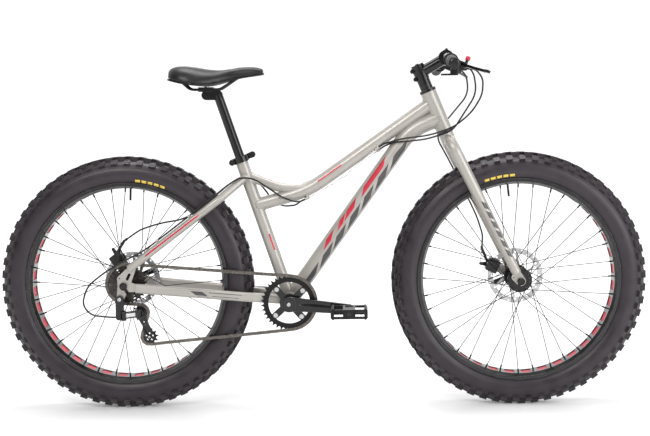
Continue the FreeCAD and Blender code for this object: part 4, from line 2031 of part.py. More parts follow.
def rear_cables():
    rear = direction(REAR_STOP_ANGLE)
    shapes = [wire_between(SHIFT_STOP_Y, "shift wire"), wire_between(BRAKE_STOP_Y, "brake wire")]
    start = rear_stop(SHIFT_STOP_Y) - rear * (STOP_LENGTH / 2)
    end = knuckle_back()
    points = [start, start - rear * STOP_LEAD] + route(SHIFT_REAR_ROUTE)
    points += [stay_top(STAY_TOP_RUN, -1), stay_top(SHIFT_STAY_END_RUN, -1)]
    lead = side_point(end, -STOP_LEAD, 0, 0)
    shapes.append(cord(points + route(SHIFT_LOOP_ROUTE) + [lead, end], HOUSING_R, "shift rear"))
    start = rear_stop(BRAKE_STOP_Y) - rear * (STOP_LENGTH / 2)
    points = [start, start - rear * STOP_LEAD] + route(BRAKE_REAR_ROUTE)
    points += [stay_top(STAY_TOP_RUN, 1), stay_top(BRAKE_STAY_END_RUN, 1)]
    stop, pull, wire = caliper_wire(REAR_AXLE, REAR_HUB_WIDTH, REAR_CALIPER_ANGLE, REAR_ARM_ANGLE)
    end = stop + pull * CALIPER_STOP_LENGTH
    points += route(BRAKE_LEAVE_ROUTE) + [end + pull * STOP_LEAD, end]
    shapes.append(cord(points, HOUSING_R, "brake rear"))
    return shapes + [wire]


def caliper_wire(axle_point, width, angle, arm_angle):
    """A caliper's cable stop, the direction of pull and the bare wire from the stop to the arm."""
    stop = caliper_stop_point(axle_point, width, angle, arm_angle)
    pull = direction(arm_angle - 90)
    arm = stop - pull * (CALIPER_STOP_RISE - CALIPER_ARM_R - CLEARANCE)
    return stop, pull, rod(arm, stop + pull * CALIPER_STOP_LENGTH, WIRE_R)


def front_brake_cable():
    tip = bar_place(1, PERCH_FROM_END, LEVER_PIVOT_FORWARD, 0)
    start = tip - bar_out(1) * (PERCH_BARREL_LENGTH + CLEARANCE)
    stop, pull, wire = caliper_wire(FRONT_AXLE, FRONT_HUB_WIDTH, FRONT_CALIPER_ANGLE, FRONT_ARM_ANGLE)
    points = [start] + route(FRONT_BRAKE_ROUTE) + [blade_back(run) for run in BLADE_CLIP_RUNS]
    end = stop + pull * CALIPER_STOP_LENGTH
    points += route(FRONT_BRAKE_LEAVE_ROUTE) + [end + pull * STOP_LEAD, end]
    return [cord(points, HOUSING_R, "front brake"), wire]


def main():
    os.makedirs("parts", exist_ok=True)
    save("head_tube", [head_tube()])
    save("seat_tube", [seat_tube()])
    save("top_tube", [top_tube(), top_tube_brace()])
    save("down_tube", [down_tube()])
    save("bottom_bracket", bottom_bracket())
    stay = chainstay()
    save("chainstays", [stay, mirrored(stay)])
    stay = seatstay()
    save("seatstays", [stay, mirrored(stay)])
    save("dropouts", dropouts())
    save("headset_cups", headset_cups())
    save("fork", fork())
    save("headset_spacers", headset_spacers())
    save("stem", stem())
    save("handlebar", [handlebar()])
    save("grips", grips())
    save("brake_perches", brake_perches())
    save("brake_lever_right", [brake_lever(-1)])
    save("brake_lever_left", [brake_lever(1)])
    save("shifter", [shifter()])
    save("shifter_lever", [shifter_lever()])
    save("seat_clamp", seat_clamp())
    save("seat_clamp_lever", [cam_lever(collar_bolt_point(), COLLAR_LUG_WIDTH / 2, COLLAR_LEVER_ANGLE)])
    save("seatpost", seatpost())
    save("saddle_base", saddle_base())
    save("saddle_pad", [saddle_pad()])
    front_end = FRONT_HUB_WIDTH / 2 - LOCKNUT_WIDTH - CLEARANCE
    rear_end = REAR_HUB_WIDTH / 2 - LOCKNUT_WIDTH - CLEARANCE
    wheel("front", FRONT_AXLE, FRONT_FLANGE_RIGHT_Y, FRONT_FLANGE_LEFT_Y, -front_end, front_end,
          FRONT_ROTOR_Y, FRONT_VALVE_ANGLE)
    freehub_face = LARGE_COG_Y + COG_THICKNESS * 3 / 2 + CLEARANCE
    wheel("rear", REAR_AXLE, REAR_FLANGE_RIGHT_Y, REAR_FLANGE_LEFT_Y, freehub_face, rear_end,
          REAR_ROTOR_Y, REAR_VALVE_ANGLE)
    for name, centre, width, angle in (("front", FRONT_AXLE, FRONT_HUB_WIDTH, FRONT_SKEWER_ANGLE),
                                       ("rear", REAR_AXLE, REAR_HUB_WIDTH, REAR_SKEWER_ANGLE)):
        save(f"{name}_axle", axle(centre, width, angle))
        save(f"{name}_skewer_lever", [cam_lever(centre, width / 2 + DROPOUT_THICKNESS, angle)])
    for name, centre, width, rotor_y, angle, arm_angle in (
        ("front", FRONT_AXLE, FRONT_HUB_WIDTH, FRONT_ROTOR_Y, FRONT_CALIPER_ANGLE, FRONT_ARM_ANGLE),
        ("rear", REAR_AXLE, REAR_HUB_WIDTH, REAR_ROTOR_Y, REAR_CALIPER_ANGLE, REAR_ARM_ANGLE),
    ):
        save(f"{name}_caliper", caliper(centre, width, rotor_y, angle, arm_angle))
        save(f"{name}_caliper_arm", [caliper_arm(centre, width, angle, arm_angle)])
    cage_angle, pins = chain_layout()
    guide = guide_point()
    tension = guide + direction(cage_angle) * CAGE_LENGTH
    save("chain", chain_links(pins))
    save("cassette", cassette(seat_phase(pins, REAR_AXLE, COG_TEETH[-1])))
    save("chainring", chainring(seat_phase(pins, BB, RING_TEETH)))
    save("crank_right", crank_right())
    save("crank_left", crank_left())
    for name, side, angle in (("pedal_right", -1, CRANK_ANGLE), ("pedal_left", 1, CRANK_ANGLE + 180)):
        save(name, pedal(side, angle))
    save("derailleur_knuckle", derailleur_knuckle())
    save("derailleur_outer_link", [derailleur_link("outer")])
    save("derailleur_inner_link", [derailleur_link("inner")])
    save("derailleur_p_knuckle", derailleur_p_knuckle())
    save("derailleur_cage", derailleur_cage(cage_angle))
    save("cable_guides", cable_guides())
    save("front_cables", front_cables())
    save("rear_cables", rear_cables())
    save("front_brake_cable", front_brake_cable())
    save("guide_pulley", [pulley(guide, seat_phase(pins, guide, PULLEY_TEETH))])
    save("tension_pulley", [pulley(tension, seat_phase(pins, tension, PULLEY_TEETH))])


main()
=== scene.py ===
import json
import math

import bmesh
import bpy
from mathutils import Matrix, Vector
from mathutils.bvhtree import BVHTree
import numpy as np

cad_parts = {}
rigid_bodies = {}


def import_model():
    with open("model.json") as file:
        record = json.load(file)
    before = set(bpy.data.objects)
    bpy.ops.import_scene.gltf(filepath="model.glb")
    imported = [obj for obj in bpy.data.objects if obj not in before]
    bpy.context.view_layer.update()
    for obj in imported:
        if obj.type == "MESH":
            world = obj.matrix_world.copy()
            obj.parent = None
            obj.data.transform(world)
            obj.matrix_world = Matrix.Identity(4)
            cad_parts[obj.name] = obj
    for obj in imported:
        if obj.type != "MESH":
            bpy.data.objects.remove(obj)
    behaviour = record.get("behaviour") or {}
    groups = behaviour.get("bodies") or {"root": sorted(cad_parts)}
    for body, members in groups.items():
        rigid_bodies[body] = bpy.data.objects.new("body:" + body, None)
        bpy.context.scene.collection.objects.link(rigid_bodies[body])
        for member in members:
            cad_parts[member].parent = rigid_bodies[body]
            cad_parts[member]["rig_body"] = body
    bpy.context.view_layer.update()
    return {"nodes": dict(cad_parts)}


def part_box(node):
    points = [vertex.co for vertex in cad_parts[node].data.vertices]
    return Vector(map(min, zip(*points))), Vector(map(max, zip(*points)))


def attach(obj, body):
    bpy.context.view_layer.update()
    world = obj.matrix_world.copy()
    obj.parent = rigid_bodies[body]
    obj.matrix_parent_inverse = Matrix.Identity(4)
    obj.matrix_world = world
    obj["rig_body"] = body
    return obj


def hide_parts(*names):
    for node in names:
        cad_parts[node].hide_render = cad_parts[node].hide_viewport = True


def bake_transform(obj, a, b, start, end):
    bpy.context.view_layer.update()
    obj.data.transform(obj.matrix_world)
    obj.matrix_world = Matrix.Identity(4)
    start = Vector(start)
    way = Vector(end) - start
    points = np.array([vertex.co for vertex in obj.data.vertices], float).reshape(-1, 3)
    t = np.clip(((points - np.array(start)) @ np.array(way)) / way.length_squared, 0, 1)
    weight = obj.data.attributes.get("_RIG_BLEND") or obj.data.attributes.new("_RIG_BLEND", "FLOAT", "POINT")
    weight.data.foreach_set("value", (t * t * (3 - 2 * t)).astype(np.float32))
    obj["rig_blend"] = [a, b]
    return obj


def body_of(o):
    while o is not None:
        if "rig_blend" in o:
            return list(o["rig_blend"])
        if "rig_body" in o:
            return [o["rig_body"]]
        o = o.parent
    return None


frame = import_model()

NODES = frame["nodes"]
REAR_AXLE = Vector((-0.559, 0.0, 0.362))
FRONT_AXLE = Vector((0.559, 0.0, 0.362))
BB = Vector((-0.0942, 0.0, 0.307))
HANDS = (("right", -1), ("left", 1))
PEDAL_AXLE = {"right": (0.0750, 0.2907), "left": (-0.2635, 0.3233)}
TENSION_AXLE = (-0.4962, 0.2099)
GUIDE_AXLE = (-0.520, 0.280)


def put(name, data):
    """A new object in the scene."""
    piece = bpy.data.objects.new(name, data)
    bpy.context.scene.collection.objects.link(piece)
    return piece


def smooth(mesh):
    for face in mesh.polygons:
        face.use_smooth = True


# Camera: the photograph's viewpoint, worked out from the wheels, the cranks and the frame's corners,
# in metres, degrees and millimetres of lens
CAMERA_PLACE = (0.0763, -3.6662, 0.8619)
CAMERA_YAW = 1.0535
CAMERA_PITCH = 5.0105
CAMERA_ROLL = -0.762
CAMERA_LENS = 71.15


def set_camera():
    yaw = math.radians(CAMERA_YAW)
    pitch = math.radians(CAMERA_PITCH)
    roll = math.radians(CAMERA_ROLL)
    right = Vector((math.cos(yaw), math.sin(yaw), 0.0))
    level = Vector((-math.sin(yaw), math.cos(yaw), 0.0))
    upright = Vector((0.0, 0.0, 1.0))
    ahead = level * math.cos(pitch) - upright * math.sin(pitch)
    up = upright * math.cos(pitch) + level * math.sin(pitch)
    rolled_right = right * math.cos(roll) + up * math.sin(roll)
    rolled_up = up * math.cos(roll) - right * math.sin(roll)
    turn = Matrix((rolled_right, rolled_up, -ahead)).transposed().to_4x4()
    data = bpy.data.cameras.new("camera")
    data.sensor_fit = "HORIZONTAL"
    data.sensor_width = 36.0
    data.lens = CAMERA_LENS
    data.clip_end = 100.0
    camera = put("camera", data)
    camera.matrix_world = Matrix.Translation(CAMERA_PLACE) @ turn
    bpy.context.scene.camera = camera


def area_light(name, place, target, size, energy, colour):
    data = bpy.data.lights.new(name, "AREA")
    data.shape = "RECTANGLE"
    data.size = size[0]
    data.size_y = size[1]
    data.energy = energy
    data.color = colour
    light = put(name, data)
    light.location = place
    light.rotation_euler = (Vector(target) - Vector(place)).to_track_quat("-Z", "Y").to_euler()


def set_studio():
    """A dim white surround and four soft lights: (name, place, target, size, energy, colour)."""
    world = bpy.data.worlds.new("studio")
    world.use_nodes = True
    sky = world.node_tree.nodes["Background"]
    sky.inputs["Color"].default_value = (1.0, 1.0, 1.0, 1.0)
    sky.inputs["Strength"].default_value = 0.30
    bpy.context.scene.world = world
    bpy.context.scene.view_settings.view_transform = "Standard"
    area_light("key", (-1.4, -3.0, 3.2), (0.0, 0.0, 0.5), (1.8, 1.0), 78.0, (1.0, 0.99, 0.97))
    area_light("fill", (2.9, -2.3, 1.6), (0.2, 0.0, 0.5), (2.4, 2.2), 82.0, (0.97, 0.98, 1.0))
    area_light("top", (0.1, 0.2, 3.4), (0.0, 0.0, 0.3), (2.6, 0.9), 75.0, (1.0, 1.0, 1.0))
    area_light("back", (0.3, 3.2, 2.2), (0.0, 0.0, 0.5), (2.6, 1.2), 22.0, (1.0, 1.0, 1.0))


# Material building
NOISE_ROUGHNESS = 0.55
NOISE_ENDS = (0.3, 0.7)
# How well two normals agree on an edge and off it, and the noise that breaks the edge's line up
EDGE_AGREES = (0.86, 0.985)
EDGE_PATCHES = (0.42, 0.62)
LEAST_PATCH = 0.15
# The colour sockets of a Mix node
MIX_FACTOR, MIX_FIRST, MIX_SECOND, MIX_RESULT = 0, 6, 7, 2


def node(tree, kind, **values):
    """A shader node with its sockets and its settings set by name."""
    made = tree.nodes.new("ShaderNode" + kind)
    for name, value in values.items():
        if name[0].isupper():
            made.inputs[name.replace("_", " ")].default_value = value
        else:
            setattr(made, name, value)
    return made


def start_material(name, sockets):
    material = bpy.data.materials.new(name)
    material.use_nodes = True
    tree = material.node_tree
    surface = tree.nodes["Principled BSDF"]
    for socket, value in sockets.items():
        surface.inputs[socket.replace("_", " ")].default_value = value
    return material, tree, surface


def placed_coordinates(tree, centre=(0, 0, 0), stretch=(1, 1, 1)):
    """Object coordinates in metres, measured from a centre and stretched along the axes."""
    place = node(tree, "TexCoord")
    shift = node(tree, "Mapping", vector_type="TEXTURE", Location=centre)
    tree.links.new(place.outputs["Object"], shift.inputs["Vector"])
    scale = node(tree, "Mapping", vector_type="POINT", Scale=stretch)
    tree.links.new(shift.outputs["Vector"], scale.inputs["Vector"])
    return scale.outputs["Vector"]


def noise_from(tree, where, scale, detail):
    made = node(tree, "TexNoise", Scale=scale, Detail=detail, Roughness=NOISE_ROUGHNESS)
    tree.links.new(where, made.inputs["Vector"])
    return made.outputs["Fac"]


def ramp_from(tree, factor, dark, light):
    """A colour that follows a noise from dark to light."""
    ramp = node(tree, "ValToRGB")
    for point, position, colour in zip(ramp.color_ramp.elements, NOISE_ENDS, (dark, light)):
        point.position = position
        point.color = (*colour, 1.0)
    tree.links.new(factor, ramp.inputs["Fac"])
    return ramp.outputs["Color"]


def range_from(tree, factor, low, high, from_low=NOISE_ENDS[0], from_high=NOISE_ENDS[1]):
    """A value that goes from low to high as a factor goes between its own two ends."""
    made = node(tree, "MapRange", From_Min=from_low, From_Max=from_high, To_Min=low, To_Max=high)
    tree.links.new(factor, made.inputs["Value"])
    return made.outputs["Result"]


def edge_mask(tree, radius, factor, amount):
    """Near an edge the rounded normal leaves the flat one, and a noise breaks the line up."""
    soft = node(tree, "Bevel", samples=4, Radius=radius)
    flat = node(tree, "NewGeometry")
    agree = node(tree, "VectorMath", operation="DOT_PRODUCT")
    tree.links.new(soft.outputs["Normal"], agree.inputs[0])
    tree.links.new(flat.outputs["Normal"], agree.inputs[1])
    edge = range_from(tree, agree.outputs["Value"], amount, 0.0, *EDGE_AGREES)
    patchy = range_from(tree, factor, LEAST_PATCH, 1.0, *EDGE_PATCHES)
    product = node(tree, "Math", operation="MULTIPLY")
    tree.links.new(edge, product.inputs[0])
    tree.links.new(patchy, product.inputs[1])
    return product.outputs["Value"]


def mixed(tree, factor, first, second):
    """The first colour where the factor is 0 and the second, a constant, where it is 1."""
    mix = node(tree, "Mix", data_type="RGBA")
    tree.links.new(factor, mix.inputs[MIX_FACTOR])
    tree.links.new(first, mix.inputs[MIX_FIRST])
    mix.inputs[MIX_SECOND].default_value = (*second, 1.0)
    return mix.outputs[MIX_RESULT]


def add_bump(tree, surface, layers):
    """Heights added on each other: (height output, distance in metres, strength)."""
    last = None
    for height, distance, strength in layers:
        bump = node(tree, "Bump", Distance=distance, Strength=strength)
        tree.links.new(height, bump.inputs["Height"])
        if last is not None:
            tree.links.new(last, bump.inputs["Normal"])
        last = bump.outputs["Normal"]
    tree.links.new(last, surface.inputs["Normal"])


def finish(name, dark, light, scale, rough, grain, edge=None, **sockets):
    """A surface with wandering colour, uneven gloss, a fine grain and, where asked, lighter edges: wear on
    most finishes, a painted highlight on the rim.

    The colour wanders between dark and light at a noise scale, and rough gives the gloss's two ends.
    A grain is a noise scale, a height in metres and a strength; an edge is a colour, a radius and an amount.
    """
    material, tree, surface = start_material(name, sockets)
    where = placed_coordinates(tree)
    broad = noise_from(tree, where, scale, 4.0)
    fine = noise_from(tree, where, grain[0], 2.0)
    colour = ramp_from(tree, broad, dark, light)
    if edge is not None:
        edge_colour, radius, amount = edge
        colour = mixed(tree, edge_mask(tree, radius, broad, amount), colour, edge_colour)
    tree.links.new(colour, surface.inputs["Base Color"])
    tree.links.new(range_from(tree, broad, *rough), surface.inputs["Roughness"])
    add_bump(tree, surface, [(fine, grain[1], grain[2])])
    return material


def tyre_finish(name, axle):
    """Rubber with fine rings pressed into the side wall, and a lighter colour on the knobs' edges that stands
    for dust and for a painted highlight.
    """
    material, tree, surface = start_material(name, {"Specular_IOR_Level": 0.46})
    where = placed_coordinates(tree, axle)
    broad = noise_from(tree, where, 22.0, 5.0)
    fine = noise_from(tree, where, 900.0, 2.0)
    rings = node(tree, "TexWave", wave_type="RINGS", rings_direction="Y", Scale=52.0, Distortion=0.0)
    tree.links.new(where, rings.inputs["Vector"])
    colour = ramp_from(tree, broad, (0.015, 0.0106, 0.0142), (0.027, 0.0200, 0.0256))
    # painted highlight with some dust: a lighter colour on the knobs' edges stands in for the light they
    # catch
    colour = mixed(tree, edge_mask(tree, 0.0016, broad, 0.55), colour, (0.12, 0.105, 0.118))
    tree.links.new(colour, surface.inputs["Base Color"])
    tree.links.new(range_from(tree, broad, 0.34, 0.50), surface.inputs["Roughness"])
    add_bump(tree, surface, [(rings.outputs["Fac"], 0.0004, 0.35), (fine, 0.0003, 0.5)])
    return material


def brushed_finish(name, axle, dark, light, rough):
    """Metal turned or ground in circles about an axle."""
    material, tree, surface = start_material(name, {"Metallic": 1.0})
    where = placed_coordinates(tree, axle)
    broad = noise_from(tree, where, 60.0, 4.0)
    rings = node(tree, "TexWave", wave_type="RINGS", rings_direction="Y", Scale=420.0, Distortion=3.0)
    rings.inputs["Detail"].default_value = 3.0
    tree.links.new(where, rings.inputs["Vector"])
    colour = ramp_from(tree, broad, dark, light)
    tree.links.new(colour, surface.inputs["Base Color"])
    tree.links.new(range_from(tree, rings.outputs["Fac"], *rough, 0.0, 1.0), surface.inputs["Roughness"])
    add_bump(tree, surface, [(rings.outputs["Fac"], 0.00008, 0.3)])
    return material


def cover_finish(name, dark, light):
    """Grained saddle cover: small closed cells with softer folds under them."""
    sockets = {"Sheen_Weight": 0.06, "Sheen_Roughness": 0.4, "Specular_IOR_Level": 0.35}
    material, tree, surface = start_material(name, sockets)
    where = placed_coordinates(tree)
    broad = noise_from(tree, where, 30.0, 4.0)
    cells = node(tree, "TexVoronoi", feature="SMOOTH_F1", Scale=700.0)
    tree.links.new(where, cells.inputs["Vector"])
    folds = noise_from(tree, where, 160.0, 3.0)
    colour = ramp_from(tree, broad, dark, light)
    tree.links.new(colour, surface.inputs["Base Color"])
    tree.links.new(range_from(tree, broad, 0.30, 0.44), surface.inputs["Roughness"])
    add_bump(tree, surface, [(folds, 0.0004, 0.3), (cells.outputs["Distance"], 0.0003, 0.35)])
    return material


def grip_finish(name):
    """Soft rubber with a small diamond pattern."""
    material, tree, surface = start_material(name, {"Specular_IOR_Level": 0.4})
    where = placed_coordinates(tree)
    broad = noise_from(tree, where, 40.0, 4.0)
    heights = []
    for turn in (0.8, -0.8):
        tilt = node(tree, "Mapping", vector_type="POINT", Rotation=(turn, 0.0, turn))
        tree.links.new(where, tilt.inputs["Vector"])
        wave = node(tree, "TexWave", wave_type="BANDS", bands_direction="Y", Scale=70.0)
        tree.links.new(tilt.outputs["Vector"], wave.inputs["Vector"])
        heights.append((wave.outputs["Fac"], 0.0008, 0.6))
    colour = ramp_from(tree, broad, (0.006, 0.0058, 0.006), (0.014, 0.013, 0.0138))
    tree.links.new(colour, surface.inputs["Base Color"])
    tree.links.new(range_from(tree, broad, 0.58, 0.78), surface.inputs["Roughness"])
    add_bump(tree, surface, heights)
    return material


def make_materials():
    made = {}
    made["paint"] = finish(
        "frame_paint", (0.355, 0.335, 0.308), (0.405, 0.384, 0.355), 9.0, (0.34, 0.44),
        (2600.0, 0.00006, 0.25), edge=((0.50, 0.48, 0.45), 0.0012, 0.5),
        Metallic=0.30, Coat_Weight=0.25, Coat_Roughness=0.2)
    made["red"] = finish(
        "red_stripe", (0.46, 0.006, 0.028), (0.58, 0.010, 0.040), 60.0, (0.32, 0.44),
        (1500.0, 0.00004, 0.2), Coat_Weight=0.3, Coat_Roughness=0.12)
    made["dark"] = finish(
        "dark_stripe", (0.040, 0.037, 0.039), (0.058, 0.054, 0.056), 60.0, (0.34, 0.46),
        (1500.0, 0.00004, 0.2), Coat_Weight=0.3, Coat_Roughness=0.12)
    made["anodised"] = finish(
        "black_anodised", (0.004, 0.0036, 0.004), (0.009, 0.0082, 0.0090), 35.0, (0.16, 0.27),
        (1800.0, 0.00005, 0.3), edge=((0.22, 0.215, 0.22), 0.0008, 0.6),
        Metallic=0.2, Specular_IOR_Level=0.5)
    made["enamel"] = finish(
        "black_enamel", (0.003, 0.0026, 0.0030), (0.007, 0.0062, 0.0070), 30.0, (0.15, 0.26),
        (900.0, 0.00006, 0.25), edge=((0.20, 0.19, 0.195), 0.0009, 0.7),
        Coat_Weight=0.2, Coat_Roughness=0.08, Specular_IOR_Level=0.35)
    # painted highlight: the rim's light edge colour draws a thin bright line along its edges
    made["rim"] = finish(
        "black_rim", (0.006, 0.0055, 0.0062), (0.013, 0.0118, 0.0132), 30.0, (0.18, 0.28),
        (900.0, 0.00006, 0.25), edge=((0.34, 0.335, 0.34), 0.0011, 0.8),
        Coat_Weight=0.25, Coat_Roughness=0.10, Specular_IOR_Level=0.4)
    made["ring"] = finish(
        "black_ring", (0.005, 0.0046, 0.005), (0.011, 0.010, 0.0108), 40.0, (0.26, 0.38),
        (1800.0, 0.00005, 0.3), edge=((0.09, 0.09, 0.092), 0.0004, 0.35),
        Metallic=0.2, Specular_IOR_Level=0.3)
    made["spoke"] = finish(
        "black_spoke", (0.004, 0.0036, 0.004), (0.009, 0.008, 0.0086), 50.0, (0.45, 0.60),
        (2000.0, 0.00004, 0.2), Specular_IOR_Level=0.12)
    made["plastic"] = finish(
        "black_plastic", (0.004, 0.0036, 0.0039), (0.010, 0.0091, 0.0097), 45.0, (0.36, 0.50),
        (2200.0, 0.00012, 0.45), edge=((0.07, 0.067, 0.068), 0.0010, 0.5), Specular_IOR_Level=0.3)
    made["housing"] = finish(
        "cable_housing", (0.006, 0.0058, 0.006), (0.014, 0.013, 0.0135), 70.0, (0.30, 0.44),
        (1600.0, 0.00006, 0.3), Coat_Weight=0.1, Coat_Roughness=0.2, Specular_IOR_Level=0.3)
    made["steel"] = finish(
        "bright_steel", (0.46, 0.46, 0.47), (0.62, 0.62, 0.63), 120.0, (0.22, 0.36),
        (2400.0, 0.00005, 0.3), edge=((0.78, 0.78, 0.79), 0.0005, 0.6), Metallic=1.0)
    made["chain"] = finish(
        "oiled_steel", (0.075, 0.066, 0.058), (0.21, 0.192, 0.172), 160.0, (0.26, 0.42),
        (2600.0, 0.00006, 0.35), edge=((0.58, 0.56, 0.53), 0.0004, 0.7), Metallic=1.0)
    made["strip"] = finish(
        "red_rim_strip", (0.50, 0.012, 0.035), (0.64, 0.022, 0.050), 50.0, (0.40, 0.55),
        (1400.0, 0.0001, 0.4))
    made["reflector"] = finish(
        "amber_reflector", (0.52, 0.20, 0.03), (0.74, 0.34, 0.06), 260.0, (0.12, 0.22),
        (420.0, 0.0005, 0.8), Coat_Weight=0.8, Coat_Roughness=0.05)
    made["yellow"] = finish(
        "yellow_mark", (0.62, 0.43, 0.05), (0.78, 0.58, 0.10), 90.0, (0.45, 0.60),
        (1200.0, 0.00008, 0.3))
    made["front_tyre"] = tyre_finish("front_tyre_rubber", FRONT_AXLE)
    made["rear_tyre"] = tyre_finish("rear_tyre_rubber", REAR_AXLE)
    disc = ((0.48, 0.48, 0.49), (0.66, 0.66, 0.67), (0.20, 0.38))
    made["front_disc"] = brushed_finish("front_disc_steel", FRONT_AXLE, *disc)
    made["rear_disc"] = brushed_finish("rear_disc_steel", REAR_AXLE, *disc)
    made["cogs"] = brushed_finish(
        "cassette_steel", REAR_AXLE, (0.030, 0.027, 0.026), (0.095, 0.088, 0.084), (0.24, 0.44))
    made["cover"] = cover_finish("saddle_cover", (0.007, 0.0062, 0.0066), (0.015, 0.0132, 0.014))
    made["grip"] = grip_finish("grip_rubber")
    return made


M = {}


def dress(name, base, *others):
    """A CAD node's material, and other materials on the faces that a rule of (centre, normal) picks."""
    mesh = NODES[name].data
    mesh.materials.clear()
    for key in (base, *(key for key, rule in others)):
        mesh.materials.append(M[key])
    for face in mesh.polygons:
        face.material_index = 0
        face.use_smooth = True
        for index, (key, rule) in enumerate(others, 1):
            if rule(face.center, face.normal):
                face.material_index = index


def from_axle(axle):
    """The distance of a point from a wheel's axis."""
    return lambda point: math.hypot(point.x - axle.x, point.z - axle.z)


def near_line(start, end, reach):
    """A rule that picks the faces within this distance of a line."""
    start = Vector(start)
    end = Vector(end)
    length = (end - start).length
    ahead = (end - start) / length

    def rule(centre, normal):
        along = (centre - start).dot(ahead)
        return -reach < along < length + reach and (centre - start - ahead * along).length < reach

    return rule


def between_x(low, high):
    """A rule that picks the faces whose centre lies between two values of X."""
    return lambda centre, normal: low < centre.x < high


# Places in metres that part one node's materials
SHELL_HALF = 0.0499
SADDLE_BOLT = ((-0.3229, 0.0, 0.911), (-0.3229, 0.0, 0.926))
SADDLE_BOLT_REACH = 0.0072
WIRE_REACH = 0.0018
FRONT_WIRE_END = ((0.4608, 0.0768, 0.395), (0.4643, 0.0768, 0.4348))
REAR_WIRE_END = ((-0.6202, 0.0943, 0.4473), (-0.5874, 0.0943, 0.4702))
BARE_WIRE_X = (-0.036, 0.151)
TUBE_REACH = 0.2725
STRIP_RADII = (0.274, 0.2754)
STRIP_HALF = 0.0243


def dress_frame():
    for name in ("head_tube", "seat_tube", "top_tube", "down_tube", "chainstays", "seatstays", "fork",
                 "dropouts", "cable_guides"):
        dress(name, "paint")
    dress("bottom_bracket", "paint", ("anodised", lambda c, n: abs(c.y) > SHELL_HALF))
    for name in ("headset_cups", "headset_spacers", "handlebar", "seat_clamp", "seat_clamp_lever", "stem"):
        dress(name, "anodised")
    dress("seatpost", "anodised", ("steel", near_line(*SADDLE_BOLT, SADDLE_BOLT_REACH)))
    dress("grips", "grip")
    for name in ("brake_perches", "brake_lever_right", "brake_lever_left"):
        dress(name, "enamel")
    for name in ("shifter", "shifter_lever", "saddle_base"):
        dress(name, "plastic")
    dress("front_cables", "housing")
    dress("front_brake_cable", "housing", ("steel", near_line(*FRONT_WIRE_END, WIRE_REACH)))
    dress("rear_cables", "housing", ("steel", between_x(*BARE_WIRE_X)),
          ("steel", near_line(*REAR_WIRE_END, WIRE_REACH)))


def strip_rule(reach):
    """A rule that picks the red strip behind a rim's windows."""
    low, high = STRIP_RADII
    return lambda centre, normal: low < reach(centre) < high and abs(centre.y) < STRIP_HALF


def dress_wheels():
    for name, axle in (("front", FRONT_AXLE), ("rear", REAR_AXLE)):
        reach = from_axle(axle)
        dress(f"{name}_tyre", f"{name}_tyre", ("plastic", lambda c, n, reach=reach: reach(c) < TUBE_REACH))
        dress(f"{name}_rim", "rim", ("strip", strip_rule(reach)))
        dress(f"{name}_spokes", "spoke")
        for part in ("hub", "axle", "skewer_lever"):
            dress(f"{name}_{part}", "anodised")
        dress(f"{name}_rotor", f"{name}_disc")
        dress(f"{name}_caliper", "enamel")
        dress(f"{name}_caliper_arm", "enamel")


RING_BOLT_ANGLES = (42.0, 132.0, 222.0, 312.0)
RING_BOLT_CIRCLE = 0.052
RING_BOLT_REACH = 0.0066
RING_PLANES = (-0.0741, -0.0669)


def bolt_rule(centre, normal):
    """The heads of the four bolts that hold the chainring on its spider."""
    if RING_PLANES[0] < centre.y < RING_PLANES[1]:
        return False
    for turn in RING_BOLT_ANGLES:
        x = BB.x + RING_BOLT_CIRCLE * math.cos(math.radians(turn))
        z = BB.z + RING_BOLT_CIRCLE * math.sin(math.radians(turn))
        if math.hypot(centre.x - x, centre.z - z) < RING_BOLT_REACH:
            return True
    return False


REFLECTOR_PLACE = 0.051
REFLECTOR_PLAY = 0.0002
REFLECTOR_HALF = (0.0201, 0.0071)
SPINDLE_Y = (0.105, 0.178)
SPINDLE_REACH = 0.007


def reflector_rule(pedal):
    """The reflectors at the two ends of a pedal."""
    low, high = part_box(pedal)
    middle = (low + high) / 2

    def rule(centre, normal):
        away = centre - middle
        at_end = abs(abs(away.x) - REFLECTOR_PLACE) < REFLECTOR_PLAY
        return at_end and abs(away.y) < REFLECTOR_HALF[0] and abs(away.z) < REFLECTOR_HALF[1]

    return rule


def dress_drive():
    dress("chain", "chain")
    dress("cassette", "cogs")
    dress("chainring", "ring", ("steel", bolt_rule))
    for hand, side in HANDS:
        x, z = PEDAL_AXLE[hand]
        spindle = near_line(*((x, side * y, z) for y in SPINDLE_Y), SPINDLE_REACH)
        dress(f"crank_{hand}", "enamel", ("steel", spindle))
    for name in ("pedal_right", "pedal_left"):
        dress(name, "plastic", ("reflector", reflector_rule(name)))
    for name in ("knuckle", "outer_link", "inner_link", "p_knuckle", "cage"):
        dress(f"derailleur_{name}", "enamel")
    dress("guide_pulley", "plastic")
    dress("tension_pulley", "plastic")


def add_mesh(name, points, faces, material, body):
    """A new smooth piece that rides on a body."""
    mesh = bpy.data.meshes.new(name)
    mesh.from_pydata(points, [], faces)
    mesh.materials.append(material)
    smooth(mesh)
    piece = put(name, mesh)
    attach(piece, body)
    return piece


DOUBLED = 0.00001


def face_outwards(piece, joined=False):
    """Turns a piece's faces outwards, with its doubled points joined first where that is asked."""
    shape = bmesh.new()
    shape.from_mesh(piece.data)
    if joined:
        bmesh.ops.remove_doubles(shape, verts=shape.verts, dist=DOUBLED)
    bmesh.ops.recalc_face_normals(shape, faces=shape.faces)
    shape.to_mesh(piece.data)
    shape.free()


# Painted stripes and blocks, laid on the tubes as thin films
TREES = {}
CAST_FROM = 0.4
SPAN_STEPS = 160
FILM_LIFT = 0.00018


def tree_of(name):
    if name not in TREES:
        mesh = NODES[name].data
        TREES[name] = BVHTree.FromPolygons([v.co for v in mesh.vertices], [f.vertices for f in mesh.polygons])
    return TREES[name]


def cast(name, x, z, side):
    """Where a line along Y from this side meets a node, and the surface's normal there."""
    hit, normal, _, _ = tree_of(name).ray_cast(Vector((x, side * CAST_FROM, z)), Vector((0, -side, 0)))
    return hit, normal


